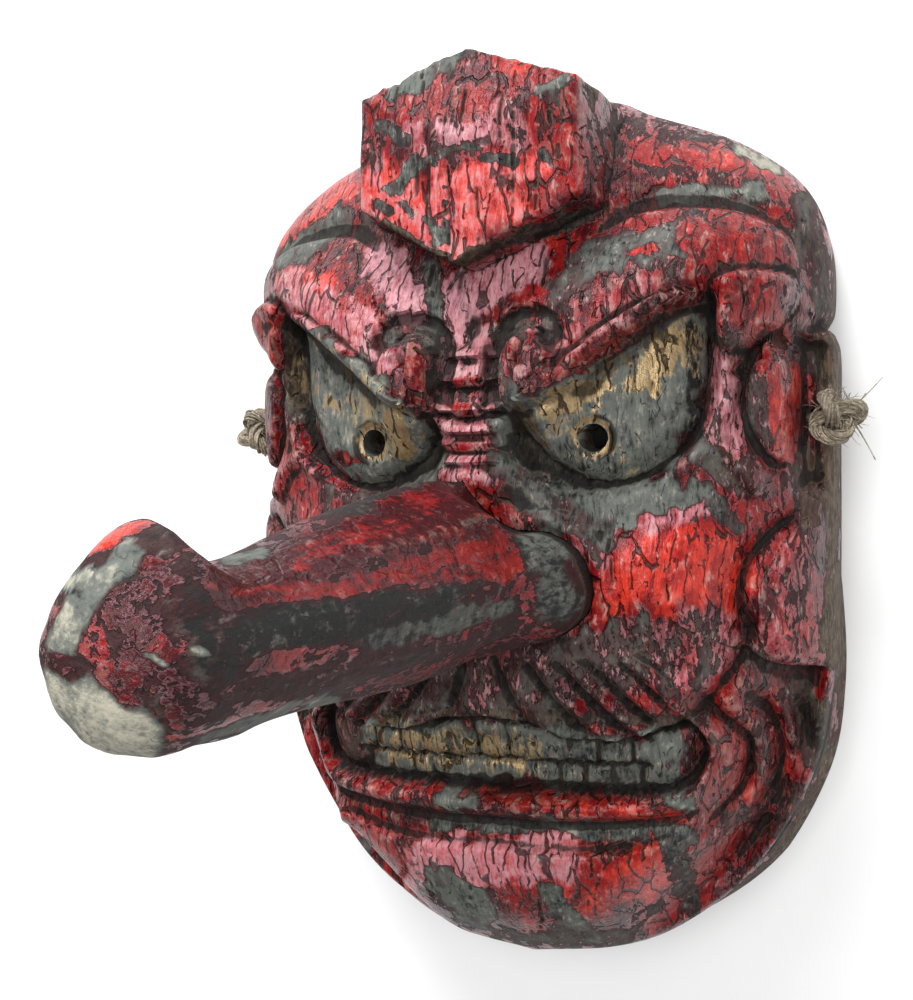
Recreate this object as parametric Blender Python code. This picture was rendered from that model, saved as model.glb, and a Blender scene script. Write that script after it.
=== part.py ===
"""A carved and lacquered tengu mask that lies face up on its rim.

Metres, +Z up. X runs across the face, Y from the chin to the cap on its brow, and Z out of the face.
The origin is on the surface that the rim rests on, in the middle of the mask.
The carving of the face is laid out on one half of it, x >= 0, in 302nds of the mask's height.
"""

import math

import bmesh
import bpy
import numpy as np
from mathutils import Vector

# Driving sizes of the mask
HEIGHT = 0.302  # along Y, from the chin to the top of the cap
WALL = 0.010  # width of the flat rim
SHELL = 0.020  # from the front of the face to the hollow behind it
EYE_BORE = 0.0092
EYE_RING = 0.0165  # the shallow ring around each bore
CORD_HOLE = 0.0066

# Driving sizes of the cap, a shallow six-sided pyramid on a prism
CAP_RADIUS = 0.0326
CAP_TILT = math.radians(13.5)
CAP_RISE = 0.0072  # how far its peak stands over its middle line
CAP_SPREAD = 1.2  # how much wider its foot is than its front

# Driving sizes of the nose, a piece of its own
NOSE_LENGTH = 0.1970  # from its seat in the face to its tip
NOSE_HALF = 0.0164  # half its thickness at the tip
NOSE_HOOK = 0.0054  # how far the lip on the tip turns up
SEAT_GAP = 0.0004  # clearance between the nose and its pocket

# Driving sizes of the cord and of the knots that keep it in the ears
CORD = 0.0045
KNOT = 0.0180
KNOT_GAP = 0.0028  # from the ear to the round of the knot
CORD_GAP = 0.0003  # from the cord's end to the knot
CORD_SPACING = 2.5  # diameters between the points of the cord

# Fineness of the meshes
SHELL_COLUMNS = 152
SHELL_ROWS = 196
SHELL_SHARE = 0.050  # what is kept of the shell's triangles
NOSE_SIDES = 24
CURVE_STEPS = 9

UNIT = HEIGHT / 302  # one step of the carving's layout
MIDDLE = -18.0  # the layout's y of the middle of the face, at the origin
CAP_MIDDLE = 100.0  # the layout's y of the middle of the cap
NOSE_MIDDLE = -20.0  # the layout's y of the nose's axis
EDGE = 26.0  # height of the side wall, where the carving starts
HOLLOW_EDGE = 12.0  # height of the hollow's side, where its dome starts
HOLLOW_STEP = 0.5  # how far the dome starts inside that side
NOSE_LIP = 17.0  # from the tip back to the crest of its lip
SEAT_LEVEL = 95.0  # height of the pocket's floor under the nose
CAP_LEVEL = 113.8  # height of the middle of the cap's front
CAP_CORNERS = [(0, 1.0, 0), (1.03, 0.65, -0.09), (1.03, -0.39, -0.24), (0, -1.0, 0)]  # shares of its radius

# Half outlines, from the top round to the bottom
OUTLINE = [(0, 133), (30, 131), (44, 125), (71, 114), (90.5, 99.5), (99, 82), (100, 60), (97, 52), (101.5, 46),
           (101.5, 15), (101, -40), (99, -70), (92.5, -98), (74.5, -129), (52.5, -149.5), (32, -160), (0, -165.5)]
JAW_FLARE = [(-0.15, 0), (-0.5, 4), (-0.95, 9), (-1.25, 8), (-1.57, 3.5)]  # how far the rim spreads below the ears, by angle
NOSE_ROOT = [(0, 5), (5, -5), (13, -10), (22, -10.5), (30, -15), (34, -22), (35, -29), (32, -36),
             (22, -42), (0, -45)]

# Lines of the carving, named by what they follow
BROW = [(18, 32), (25, 44), (40, 56), (54, 65), (68, 71), (83, 71), (94, 62)]
CROWN_FURROW = [(32, 76), (47, 85), (64, 86), (80, 83), (91, 74), (95, 56)]
CURL_CHANNEL = [(8, 27), (8, 42), (13, 51), (22, 52), (26, 47)]
CURL_SLIT = [(22, 48), (19, 45), (17.5, 39)]
LID_LINE = [(20, 29), (27, 33), (38, 42), (52, 53), (63, 58)]
TEMPLE_BAND = [(72, 52), (72, 36), (71, 24), (66, 15)]
EAR_BAND = [(76, 38), (77, 20), (81, 2)]
EYE_BAG = [(58, 8), (66, 12), (73, 10), (80, 0)]
CHEEK_CREASE = [(93, -6), (84, -12), (76, -22), (74, -34), (76, -46), (66, -62), (58, -69)]
LOBE_FOOT = [(74, -48), (86, -56), (104, -61)]
LIP = [(0, -93.5), (22, -95), (42, -95), (57, -93), (66, -86), (68, -75), (64, -66)]
LIP_FURROW = [(0, -101), (24, -101), (48, -100), (64, -97), (72, -88)]
CHIN_STEP = [(0, -109), (28, -110.5), (48, -108), (64, -102), (74, -95)]
CHEEK_FOLDS = [
    ([(62, -62), (71, -73), (75, -82), (72, -95), (60, -106)], 4.5),
    ([(77, -64), (82, -77), (83, -90), (79, -104)], 4.0),
    ([(89, -70), (93, -84), (94, -97)], 3.0),
]

# Closed forms of the carving
SOCKET = [(11, 25), (8, 17), (11, 8), (21, 2), (35, -1), (50, 2), (61, 9), (67, 18), (70, 30), (71, 44),
          (70, 58), (62, 57), (52, 52), (38, 41), (27, 32)]
EYEBALL = [(14, 24), (18, 14), (26, 8), (35, 4), (46, 5), (56, 11), (62, 19), (65, 30), (66, 44), (66, 58),
           (53, 56), (38, 46), (25, 35)]
BROW_KNOB = [(10, 37), (12.5, 45), (19, 48), (25, 43), (27, 36), (24, 28), (17, 25), (11.5, 29)]
BROW_CURL = [(70, 62), (70, 44), (77, 42), (86, 49), (92, 58), (88, 65)]
CHEEK = [(37, -14), (37, -34), (48, -43), (62, -45), (72, -37), (74, -24), (68, -10), (54, -6)]
EAR_OVAL = [(81, 44), (77, 29), (80, 15), (86, 9), (89, 19), (89, 34), (86, 43)]
EAR_LOBE = [(92, -10), (82, -25), (78, -35), (80, -47), (88, -54), (104, -57), (104, -12)]
MOUTH = [(-12, -66.5), (3, -66.5), (16, -69), (30, -73), (42, -73), (53, -70), (61, -70), (65, -78),
         (62, -88), (55, -92), (40, -92.5), (20, -91.5), (-12, -90)]

# Wrinkles across the root of the nose: place, half length, depth
WRINKLES = [(40.5, 8, 1.8), (32.5, 10, 2.4), (24, 13, 3.0), (18, 10, 2.0), (13.5, 10, 2.0), (9, 9, 1.8)]

PUPIL = (35.0, 17.0)
EAR_HOLE = (95.0, 22.0)
EAR_SLANT = math.radians(56)  # of the hole through the ear, over the horizontal

# The route of the cord across the floor inside the mask, from the right ear to the left
CORD_ROUTE = [(0.0776, 0.0392, 0.0138), (0.0716, 0.0362, 0.0075), (0.0644, 0.0306, 0.0040),
              (0.0560, 0.0210, 0.0029), (0.0480, 0.0030, 0.0029), (0.0400, -0.0180, 0.0029),
              (0.0260, -0.0350, 0.0029), (0.0080, -0.0370, 0.0029), (-0.0070, -0.0240, 0.0029),
              (-0.0150, -0.0050, 0.0029), (-0.0230, 0.0180, 0.0029), (-0.0370, 0.0380, 0.0029),
              (-0.0540, 0.0466, 0.0029), (-0.0644, 0.0458, 0.0040), (-0.0718, 0.0432, 0.0076),
              (-0.0776, 0.0410, 0.0138)]


def ease(low, high, value):
    """A smooth step from 0 at low to 1 at high."""
    share = np.clip((value - low) / (high - low), 0, 1)
    return share * share * (3 - 2 * share)


def hump(distance, width):
    return np.exp(-((distance / width) ** 2))


def spline(points, closed=False):
    """A smooth curve through the points."""
    pts = np.array(points, float)
    count = len(pts)
    if closed:
        pts = np.vstack([pts[-1:], pts, pts[:2]])
        spans = count
    else:
        pts = np.vstack([2 * pts[0] - pts[1], pts, 2 * pts[-1] - pts[-2]])
        spans = count - 1
    steps = np.arange(CURVE_STEPS) / CURVE_STEPS
    out = []
    for k in range(spans):
        a, b, c, d = pts[k : k + 4]
        for t in steps:
            out.append(
                0.5 * (2 * b + (c - a) * t + (2 * a - 5 * b + 4 * c - d) * t**2 + (3 * b - a - 3 * c + d) * t**3)
            )
    out.append(out[0] if closed else pts[-2])
    return np.array(out)


def along(x, y, line):
    """Distance to a line, positive on its left, and the share of its length at the nearest point."""
    return nearest(x, y, spline(line))


def nearest(x, y, pts):
    """Distance to a chain of points and the share of its length at the nearest point."""
    steps = np.hypot(*np.diff(pts, axis=0).T)
    start = np.concatenate([[0], np.cumsum(steps)])
    best = np.full(np.shape(x), 1e9)
    side = np.zeros(np.shape(x))
    share = np.zeros(np.shape(x))
    for k, length in enumerate(steps):
        ax, ay = pts[k]
        ux, uy = (pts[k + 1] - pts[k]) / length
        t = np.clip((x - ax) * ux + (y - ay) * uy, 0, length)
        dx = x - ax - t * ux
        dy = y - ay - t * uy
        distance = np.hypot(dx, dy)
        closer = distance < best
        best = np.where(closer, distance, best)
        side = np.where(closer, ux * dy - uy * dx, side)
        share = np.where(closer, (start[k] + t) / start[-1], share)
    return np.where(side < 0, -best, best), share


def within(x, y, form):
    """Distance to a closed form's edge, positive inside it."""
    pts = spline(form, closed=True)
    distance = np.abs(nearest(x, y, pts)[0])
    inside = np.zeros(np.shape(x), bool)
    for (ax, ay), (bx, by) in zip(pts[:-1], pts[1:]):
        if ay == by:
            continue
        crosses = (ay > y) != (by > y)
        inside ^= crosses & (x < (bx - ax) * (y - ay) / (by - ay) + ax)
    return np.where(inside, distance, -distance)


def crown(depth, reach):
    """A round rise from 0 at a form's edge to 1 at the given distance inside it."""
    share = np.clip(depth / reach, 0, 1)
    return np.sqrt(1 - (1 - share) ** 2)


def outline_reach(angle):
    """Distance from the middle of the face to its outline, by the angle from +X on its half."""
    pts = spline(OUTLINE) - [0, MIDDLE]
    angles = np.arctan2(pts[:, 1], pts[:, 0])
    order = np.argsort(angles)
    return np.interp(angle, angles[order], np.hypot(*pts.T)[order])


def face_share(x, y):
    """How far out a place is, from 0 in the middle of the face to 1 on its outline."""
    return np.hypot(x, y - MIDDLE) / outline_reach(np.arctan2(y - MIDDLE, x))


def fall(share):
    """How a dome falls from 1 in the middle to 0 at its edge."""
    return (1 - np.clip(share, 0, 1) ** 2.4) ** 0.42


def dome_top(x, y):
    return 106 - 0.0012 * x * x - 12 * ease(-132, -168, y)


def brow(x, y):
    d, t = along(x, y, BROW)
    rise = (10 + 5 * np.sin(math.pi * np.clip(t * 1.3, 0, 1))) * (1 - 0.75 * ease(0.72, 1.0, t))
    z = rise * np.where(d > 0, hump(d, 15), np.exp(-((d / 12.5) ** 4)))
    d, t = along(x, y, CROWN_FURROW)
    z -= 6.0 * np.where(d > 0, hump(d, 6), hump(d, 1.2)) * ease(0.0, 0.25, t) * (1 - 0.5 * ease(0.75, 1, t))
    z += 11 * crown(within(x, y, BROW_CURL), 7)
    channel = np.abs(along(x, y, CURL_CHANNEL)[0])
    z -= 4.5 * ease(4.4, 2.6, channel)
    z += 8.0 * crown(within(x, y, BROW_KNOB), 6.5)
    z -= 5.0 * hump(along(x, y, CURL_SLIT)[0], 1.3)
    return z


def eye(x, y):
    lid = np.abs(along(x, y, LID_LINE)[0])
    depth = within(x, y, SOCKET)
    z = -12.5 * ease(-1, 3.4 + 3.6 * ease(3, 14, lid), depth)
    ball = within(x, y, EYEBALL)
    z += 12.5 * crown(ball, 11)
    z -= 1.8 * hump(lid, 1.7)
    ring = np.hypot(x - PUPIL[0], y - PUPIL[1]) * UNIT
    z -= 1.4 * (1 - ease(EYE_RING / 2 - 0.0006, EYE_RING / 2 + 0.0002, ring))
    z -= 1.2 * (1 - ease(EYE_BORE / 2, EYE_RING / 2, ring))
    z += 3.0 * hump(along(x, y, TEMPLE_BAND)[0], 2.6)
    z += 3.5 * hump(along(x, y, EYE_BAG)[0], 2.8)
    return z


def ear(x, y):
    z = 3.0 * hump(along(x, y, EAR_BAND)[0], 3.0)
    oval = within(x, y, EAR_OVAL)
    z += 5.0 * crown(oval, 6) - 5.5 * hump(oval + 1.6, 2.0)
    z -= 17.0 * ease(87.5, 92, x) * ease(-4, 4, y) * (1 - ease(44, 50, y))
    lobe = within(x, y, EAR_LOBE)
    z += 4.0 * crown(lobe, 9)
    d, t = along(x, y, LOBE_FOOT)
    z -= (5 + 7 * t) * np.where(d < 0, hump(d, 8), hump(d, 1.2))
    return z


def cheek(x, y):
    z = 9.0 * ease(-3, 15, within(x, y, CHEEK))
    z -= 20 * ease(56, 84, x) * ease(-48, -72, y) * (1 - 0.5 * ease(-118, -150, y))
    d, t = along(x, y, CHEEK_CREASE)
    z -= 7.5 * (0.6 * hump(d, 4.0) + 0.4 * hump(d, 1.6)) * ease(0.0, 0.12, t)
    for line, depth in CHEEK_FOLDS:
        d, t = along(x, y, line)
        z -= depth * (0.6 * hump(d, 2.6) + 0.6 * hump(d, 1.1)) * ease(0, 0.15, t) * (1 - ease(0.85, 1, t))
        z += 0.6 * depth * hump(np.abs(d) - 4.6, 2.6)
    return z


def bridge(x, y):
    z = 3.5 * hump(x, 10) * ease(0, 8, y) * (1 - ease(38, 52, y))
    z += 3.0 * hump(np.hypot(x / 26, (y - 60) / 20), 1.0)
    for place, half, depth in WRINKLES:
        low = y - place - 0.012 * x * x
        plate = hump(low - 1.8, 1.7) - 1.3 * np.where(low > 0, hump(low, 0.7), hump(low, 1.3))
        z += depth * plate * (1 - ease(half - 2, half + 1, x))
    rim = within(x, y, NOSE_ROOT + [(-x0, y0) for x0, y0 in NOSE_ROOT[-2:0:-1]])
    z += 3.0 * hump(rim + 3.5, 2.6) * ease(8, 18, x)
    z += 9.0 * hump(x, 8) * hump(y - 3, 8)
    return z


def moustache(x, y):
    zone = ease(-46, -52, y) * ease(-76, -71, y + 0.05 * np.clip(x - 20, 0, 40)) * (1 - ease(48, 58, x))
    lean = 1.05 * (1 - np.exp(-x / 26))
    strand = (x - lean * (-46 - y)) / 8.6 + 0.5
    saw = strand - np.floor(strand)
    fine = 0.8 * np.sin(2 * math.pi * saw) ** 2 * (strand > 1)
    return zone * (4.6 * np.sin(math.pi * saw) ** 0.8 - 2.4 - fine)


def mouth(x, y):
    depth = within(x, y, MOUTH)
    z = -12.0 * ease(-0.5, 1.6, depth)
    split = -82.0 - 0.03 * x
    row = np.where(y > split, (y - split) / 13.0, (split - y) / 10.0)
    arch = np.sqrt(np.clip(1 - (2 * np.clip(row, 0, 1) - 0.9) ** 2, 0, 1))
    inside = ease(1.0, 3.0, depth)
    corner = ease(45, 51, x)
    pitch = np.where(y > split, 9.4, 8.2)
    gap = np.abs(x / pitch + 0.5 - np.round(x / pitch + 0.5)) * pitch
    teeth = 2.2 + 1.2 * arch - 2.0 * hump(gap, 0.6) - 2.2 * hump(y - split, 0.7)
    z += inside * (teeth * (1 - corner) + corner * 6.5 * crown(depth - 1, 8))
    d, t = along(x, y, LIP)
    z += 5.0 * np.where(d > 0, np.exp(-((d / 3.2) ** 4)), hump(d, 4.5)) * (1 - ease(0.88, 1, t))
    z -= 3.4 * hump(along(x, y, LIP_FURROW)[0], 2.6)
    return z


def chin(x, y):
    d, t = along(x, y, CHIN_STEP)
    z = 3.6 * np.where(d < 0, hump(d, 16), hump(d, 1.0)) * (1 - ease(0.7, 1, t))
    z += 4.0 * hump(np.hypot(x / 42, (y + 132) / 22), 1.0)
    share = face_share(x, y)
    z -= 14 * ease(0.74, 0.93, share) * ease(-90, -125, y) * ease(20, 55, x)
    return z


def carving(x, y):
    """Height of the front of the face over its layout, with x >= 0."""
    share = face_share(x, y)
    z = EDGE + (dome_top(x, y) - EDGE) * fall(share)
    relief = brow(x, y) + eye(x, y) + ear(x, y) + cheek(x, y)
    relief += bridge(x, y) + moustache(x, y) + mouth(x, y) + chin(x, y)
    return z + relief * ease(1.0, 0.93, share)


def hollow(x, y, share):
    """Height of the smooth hollow behind the face."""
    return HOLLOW_EDGE + (dome_top(x, y) - SHELL / UNIT - HOLLOW_EDGE) * fall(share)


def hollow_height(x, y):
    """Height of the hollow over one place of the layout, or of its foot outside it."""
    angle = math.atan2(y - MIDDLE, abs(x))
    share = math.hypot(x, y - MIDDLE) / (float(outline_reach(angle)) - WALL / UNIT - HOLLOW_STEP)
    return float(hollow(x, y, share))


def square_to_disc(columns, rows):
    """Directions and reaches of a grid of points spread over a disc."""
    u, v = np.meshgrid(np.linspace(-1, 1, columns + 1), np.linspace(-1, 1, rows + 1), indexing="ij")
    x = u * np.sqrt(1 - v * v / 2)
    y = v * np.sqrt(1 - u * u / 2)
    radius = np.clip(np.hypot(x, y), 0, 1)
    angle = np.arctan2(y, x)
    spread = 0.5 * radius + 0.5 * np.sin(radius * math.pi / 2)
    return angle, spread


def grid_edge(columns, rows):
    """Grid places around the grid's edge, in order."""
    return (
        [(k, 0) for k in range(columns)]
        + [(columns, k) for k in range(rows)]
        + [(columns - k, rows) for k in range(columns)]
        + [(0, rows - k) for k in range(rows)]
    )


def shell_mesh(columns, rows):
    """The carved wall: front, side wall, flat rim and hollow, as one closed body."""
    angle, radius = square_to_disc(columns, rows)
    half_angle = np.arctan2(np.sin(angle), np.abs(np.cos(angle)))
    reach = outline_reach(half_angle)
    bends, spreads = np.array(JAW_FLARE[::-1]).T
    flare = np.interp(half_angle, bends, spreads)
    verts = []
    faces = []

    def layer(reach_here, height):
        x = radius * reach_here * np.cos(angle)
        y = radius * reach_here * np.sin(angle) + MIDDLE
        z = height(np.abs(x), y)
        first = len(verts)
        verts.extend(zip(x.ravel(), (y - MIDDLE).ravel(), z.ravel()))
        return first

    def ring(inset, z):
        first = len(verts)
        for i, j in grid_edge(columns, rows):
            r = reach[i, j] - inset[i, j]
            verts.append((r * math.cos(angle[i, j]), r * math.sin(angle[i, j]), z))
        return list(range(first, len(verts)))

    def edge_of(first):
        return [first + i * (rows + 1) + j for i, j in grid_edge(columns, rows)]

    def sheet(first, upward):
        for i in range(columns):
            for j in range(rows):
                a = first + i * (rows + 1) + j
                b, c, d = a + rows + 1, a + rows + 2, a + 1
                even = abs(verts[a][2] - verts[c][2]) < abs(verts[b][2] - verts[d][2])
                for tri in ((a, b, c), (a, c, d)) if even else ((a, b, d), (b, c, d)):
                    faces.append(tri if upward else tri[::-1])

    def band(upper, lower):
        count = len(upper)
        for k in range(count):
            n = (k + 1) % count
            faces.append((upper[k], lower[k], lower[n], upper[n]))

    rim = WALL / UNIT
    front = layer(reach, carving)
    sheet(front, True)
    outer = [edge_of(front)]
    for level in (0.66, 0.33, 0.0):
        outer.append(ring(-flare * (1 - level), EDGE * level))
    inner = [ring(rim - flare, 0.0), ring(rim - 0.5 * flare, HOLLOW_EDGE / 2)]
    back = layer(reach - rim - HOLLOW_STEP, lambda x, y: hollow(x, y, radius))
    sheet(back, False)
    loops = outer + inner + [edge_of(back)]
    for upper, lower in zip(loops[:-1], loops[1:]):
        band(upper, lower)
    return [tuple(UNIT * c for c in v) for v in verts], faces


def new_object(name, verts, faces, material):
    mesh = bpy.data.meshes.new(name)
    mesh.from_pydata(verts, [], faces)
    mesh.update()
    piece = bpy.data.objects.new(name, mesh)
    bpy.context.collection.objects.link(piece)
    if material:
        mesh.materials.append(material)
    return piece


def plain_material(name, colour, roughness, metallic=0.0):
    material = bpy.data.materials.new(name)
    material.use_nodes = True
    shader = material.node_tree.nodes["Principled BSDF"]
    shader.inputs["Base Color"].default_value = (*colour, 1)
    shader.inputs["Roughness"].default_value = roughness
    shader.inputs["Metallic"].default_value = metallic
    return material


def thin_out(piece, share):
    """Keeps a share of the triangles, where the form needs them, and lays the rim flat again."""
    thinner = piece.modifiers.new("thinner", "DECIMATE")
    thinner.ratio = share
    graph = bpy.context.evaluated_depsgraph_get()
    mesh = bpy.data.meshes.new_from_object(piece.evaluated_get(graph))
    piece.modifiers.clear()
    flat = 0.0004
    for vert in mesh.vertices:
        if vert.co.z < flat:
            vert.co.z = 0.0
    piece.data = mesh


def cutter(name, piece, operation):
    """Marks a guide object and applies it to the piece with a Boolean."""
    guide = bpy.data.objects[name]
    guide.hide_render = True
    guide.display_type = "WIRE"
    step = piece.modifiers.new(name, "BOOLEAN")
    step.operation = operation
    step.object = guide
    step.solver = "EXACT"


def rod(name, start, end, radius, sides=24):
    """A straight round bar between two points."""
    axis = Vector(end) - Vector(start)
    bm = bmesh.new()
    bmesh.ops.create_cone(
        bm, cap_ends=True, segments=sides, radius1=radius, radius2=radius, depth=axis.length
    )
    turn = axis.to_track_quat("Z", "Y").to_matrix().to_4x4()
    turn.translation = (Vector(start) + Vector(end)) / 2
    bm.transform(turn)
    mesh = bpy.data.meshes.new(name)
    bm.to_mesh(mesh)
    bm.free()
    piece = bpy.data.objects.new(name, mesh)
    bpy.context.collection.objects.link(piece)
    return piece


def prism(name, outline, low, high):
    """An upright prism on a closed outline that runs anticlockwise."""
    count = len(outline)
    verts = [(x, y, z) for z in (low, high) for x, y in outline]
    faces = [tuple(range(count))[::-1], tuple(range(count, 2 * count))]
    for k in range(count):
        n = (k + 1) % count
        faces.append((k, n, count + n, count + k))
    return new_object(name, verts, faces, None)


def cap_mesh():
    """The six-sided cap: its front leans back by CAP_TILT, and its foot ends inside the wood of the head."""
    middle_y = (CAP_MIDDLE - MIDDLE) * UNIT
    lean = math.tan(CAP_TILT)
    peak_shift = 0.1  # of the peak towards the top, as a share of the radius
    corners = CAP_CORNERS + [(-x, y, z) for x, y, z in CAP_CORNERS[2:0:-1]]

    def foot(x, y):
        return (x, y, (hollow_height(x / UNIT, y / UNIT + MIDDLE)) * UNIT + SHELL / 2)

    top = []
    low = []
    inner = []
    for x, y, z in np.array(corners) * CAP_RADIUS:
        top.append((x, middle_y + y, CAP_LEVEL * UNIT + z - y * lean))
        low.append(foot(CAP_SPREAD * x, middle_y + y))
        inner.append(foot(CAP_SPREAD * x / 2, middle_y + y / 2))
    peak = (0.0, middle_y + peak_shift * CAP_RADIUS, CAP_LEVEL * UNIT + CAP_RISE)
    verts = top + low + inner + [peak, foot(0.0, middle_y)]
    faces = []
    for k in range(6):
        n = (k + 1) % 6
        faces.append((18, n, k))
        faces.append((k, n, n + 6, k + 6))
        faces.append((k + 6, n + 6, n + 12, k + 12))
        faces.append((k + 12, n + 12, 19))
    return verts, faces


def nose_radius(angle, height):
    """Reach of the nose's side from its axis, by the angle from +X and the height over the rim."""
    root = spline(NOSE_ROOT) - [0, NOSE_MIDDLE]
    root_angles = np.arctan2(root[:, 1], root[:, 0])
    order = np.argsort(root_angles)
    half = np.arctan2(np.sin(angle), np.abs(np.cos(angle)))
    root_reach = np.interp(half, root_angles[order], np.hypot(*root.T)[order])
    facets = np.radians([62, 24, -14, -52, -90])
    reach = np.min([1 / np.maximum(np.cos(half - f), 0.2) for f in facets], axis=0)
    reach = np.minimum(reach, 1.13 - 0.11 * ease(150, 240, height))
    tip_level = SEAT_LEVEL + NOSE_LENGTH / UNIT
    taper = 1 + 0.42 * ease(tip_level - 30, 140, height)
    shaft = NOSE_HALF / UNIT * taper * reach
    flare = ease(108, 150, height)
    return root_reach * (1 - flare) + shaft * flare


def hook(past_lip):
    """Share of the hook's rise over the nose, by the distance past its lip towards the tip."""
    return np.where(past_lip > 0, hump(past_lip, 15.0), np.interp(past_lip, [-12, -3, 0], [0, 0.60, 1]))


def nose_rings():
    """Rings of the nose from its seat to its tip, as lists of points."""
    tip = SEAT_LEVEL + NOSE_LENGTH / UNIT
    half = NOSE_HALF / UNIT
    seat = SEAT_LEVEL + SEAT_GAP / UNIT
    levels = [seat, 108, 114, 121, 129, 138, 150, 168, 190, 212, 234, 250]
    levels += [tip - NOSE_LIP - back for back in (12, 7.5, 3, 0)]
    levels += [tip - half * (1 - math.sin(math.radians(a))) for a in (20, 34, 48, 62, 75)]
    angles = np.arange(NOSE_SIDES) * 2 * math.pi / NOSE_SIDES + math.pi / 2
    rings = []
    for level in levels:
        reach = nose_radius(angles, level)
        close = 1.0
        if level > tip - half:
            close = (1 - ((level - tip + half) / half) ** 2.5) ** (1 / 2.5)
        x = reach * close * np.cos(angles)
        y = NOSE_MIDDLE + 0.8 * ease(150, 250, level) + 2.0 * ease(258, 276, level) + reach * close * np.sin(angles)
        lip = hook(level - (tip - NOSE_LIP))
        upper = np.clip(np.sin(angles), 0, 1)
        y = y - 1.8 * ease(205, 245, level) * ease(276, 262, level) * upper**2
        y = y + NOSE_HOOK / UNIT * lip * upper**6
        rings.append([(UNIT * a, UNIT * (b - MIDDLE), UNIT * level) for a, b in zip(x, y)])
    peak = (0.0, UNIT * (NOSE_MIDDLE + 2.8 - MIDDLE), UNIT * tip)
    return rings, peak


def ring_mesh(rings, peak):
    count = len(rings[0])
    verts = [p for ring in rings for p in ring] + [peak]
    faces = [tuple(range(count))[::-1]]
    for r in range(len(rings) - 1):
        for k in range(count):
            n = (k + 1) % count
            a = r * count
            faces.append((a + k, a + n, a + count + n, a + count + k))
    last = (len(rings) - 1) * count
    for k in range(count):
        faces.append((last + k, last + (k + 1) % count, len(verts) - 1))
    return verts, faces


def seat_outline():
    """The nose's root grown by its clearance, anticlockwise, in metres."""
    angles = np.arange(NOSE_SIDES) * 2 * math.pi / NOSE_SIDES + math.pi / 2
    reach = nose_radius(angles, SEAT_LEVEL) * UNIT
    pts = np.column_stack([reach * np.cos(angles), reach * np.sin(angles) + UNIT * (NOSE_MIDDLE - MIDDLE)])
    ahead = np.roll(pts, -1, axis=0) - pts
    normal = np.column_stack([ahead[:, 1], -ahead[:, 0]])
    normal /= np.hypot(*normal.T)[:, None]
    outward = normal + np.roll(normal, 1, axis=0)
    outward /= np.hypot(*outward.T)[:, None]
    bend = np.sum(outward * normal, axis=1)
    return pts + outward * (SEAT_GAP / np.maximum(bend, 0.3))[:, None]


def ear_axis(side):
    """Where the ear hole's axis meets the ear, and its outward direction, for side 1 or -1."""
    x, y = EAR_HOLE
    z = float(carving(np.array([x]), np.array([y]))[0])
    slant = Vector((side * math.cos(EAR_SLANT), 0, math.sin(EAR_SLANT)))
    return Vector((side * x, y - MIDDLE, z)) * UNIT, slant


def build_mask(material):
    verts, faces = shell_mesh(SHELL_COLUMNS, SHELL_ROWS)
    mask = new_object("mask", verts, faces, material)
    thin_out(mask, SHELL_SHARE)
    verts, faces = cap_mesh()
    new_object("cap_form", verts, faces, material)
    cutter("cap_form", mask, "UNION")
    prism("nose_pocket", seat_outline(), SEAT_LEVEL * UNIT, 150 * UNIT)
    cutter("nose_pocket", mask, "DIFFERENCE")
    for side, word in ((1, "right"), (-1, "left")):
        x, y = side * PUPIL[0] * UNIT, (PUPIL[1] - MIDDLE) * UNIT
        rod("eye_bore_" + word, (x, y, 0.05), (x, y, 0.13), EYE_BORE / 2)
        cutter("eye_bore_" + word, mask, "DIFFERENCE")
        middle, slant = ear_axis(side)
        rod("ear_bore_" + word, middle - slant * 0.03, middle + slant * 0.03, CORD_HOLE / 2)
        cutter("ear_bore_" + word, mask, "DIFFERENCE")
    return mask


def build_nose(material):
    rings, peak = nose_rings()
    verts, faces = ring_mesh(rings, peak)
    return new_object("nose", verts, faces, material)


def build_knot(name, side, material):
    """A lumpy round knot with its frayed end pointing away from the ear."""
    middle, slant = ear_axis(side)
    middle = middle + slant * (KNOT / 2 + KNOT_GAP)
    bm = bmesh.new()
    bmesh.ops.create_uvsphere(bm, u_segments=16, v_segments=10, radius=KNOT / 2)
    for vert in bm.verts:
        turn = math.atan2(vert.co.y, vert.co.x)
        level = vert.co.z / (KNOT / 2)
        lumps = 0.10 * math.sin(3 * turn + 4 * level) * (1 - level * level)
        vert.co *= 0.94 + lumps * 0.6
        if level > 0.3:
            vert.co.z += KNOT * 0.25 * (level - 0.3)
            vert.co.x *= 1 - 0.4 * (level - 0.3)
            vert.co.y *= 1 - 0.4 * (level - 0.3)
    turn = slant.to_track_quat("Z", "Y").to_matrix().to_4x4()
    turn.translation = middle
    bm.transform(turn)
    mesh = bpy.data.meshes.new(name)
    bm.to_mesh(mesh)
    bm.free()
    mesh.materials.append(material)
    mesh.shade_smooth()
    knot = bpy.data.objects.new(name, mesh)
    bpy.context.collection.objects.link(knot)
    return knot


def cord_points():
    """Points along the cord, from one knot through both ears to the other knot."""
    ends = []
    for side in (1, -1):
        middle, slant = ear_axis(side)
        foot = middle + slant * (KNOT_GAP + 0.03 * KNOT - CORD_GAP)
        ends.append([tuple(foot), tuple(middle - slant * 0.010), tuple(middle - slant * 0.020)])
    route = spline([tuple(c * 1000 for c in p) for p in ends[0] + CORD_ROUTE + ends[1][::-1]]) / 1000
    steps = np.linalg.norm(np.diff(route, axis=0), axis=1)
    run = np.concatenate([[0], np.cumsum(steps)])
    count = round(run[-1] / (CORD * CORD_SPACING))
    places = np.linspace(0, run[-1], count + 1)
    return np.column_stack([np.interp(places, run, route[:, k]) for k in range(3)])


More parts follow.
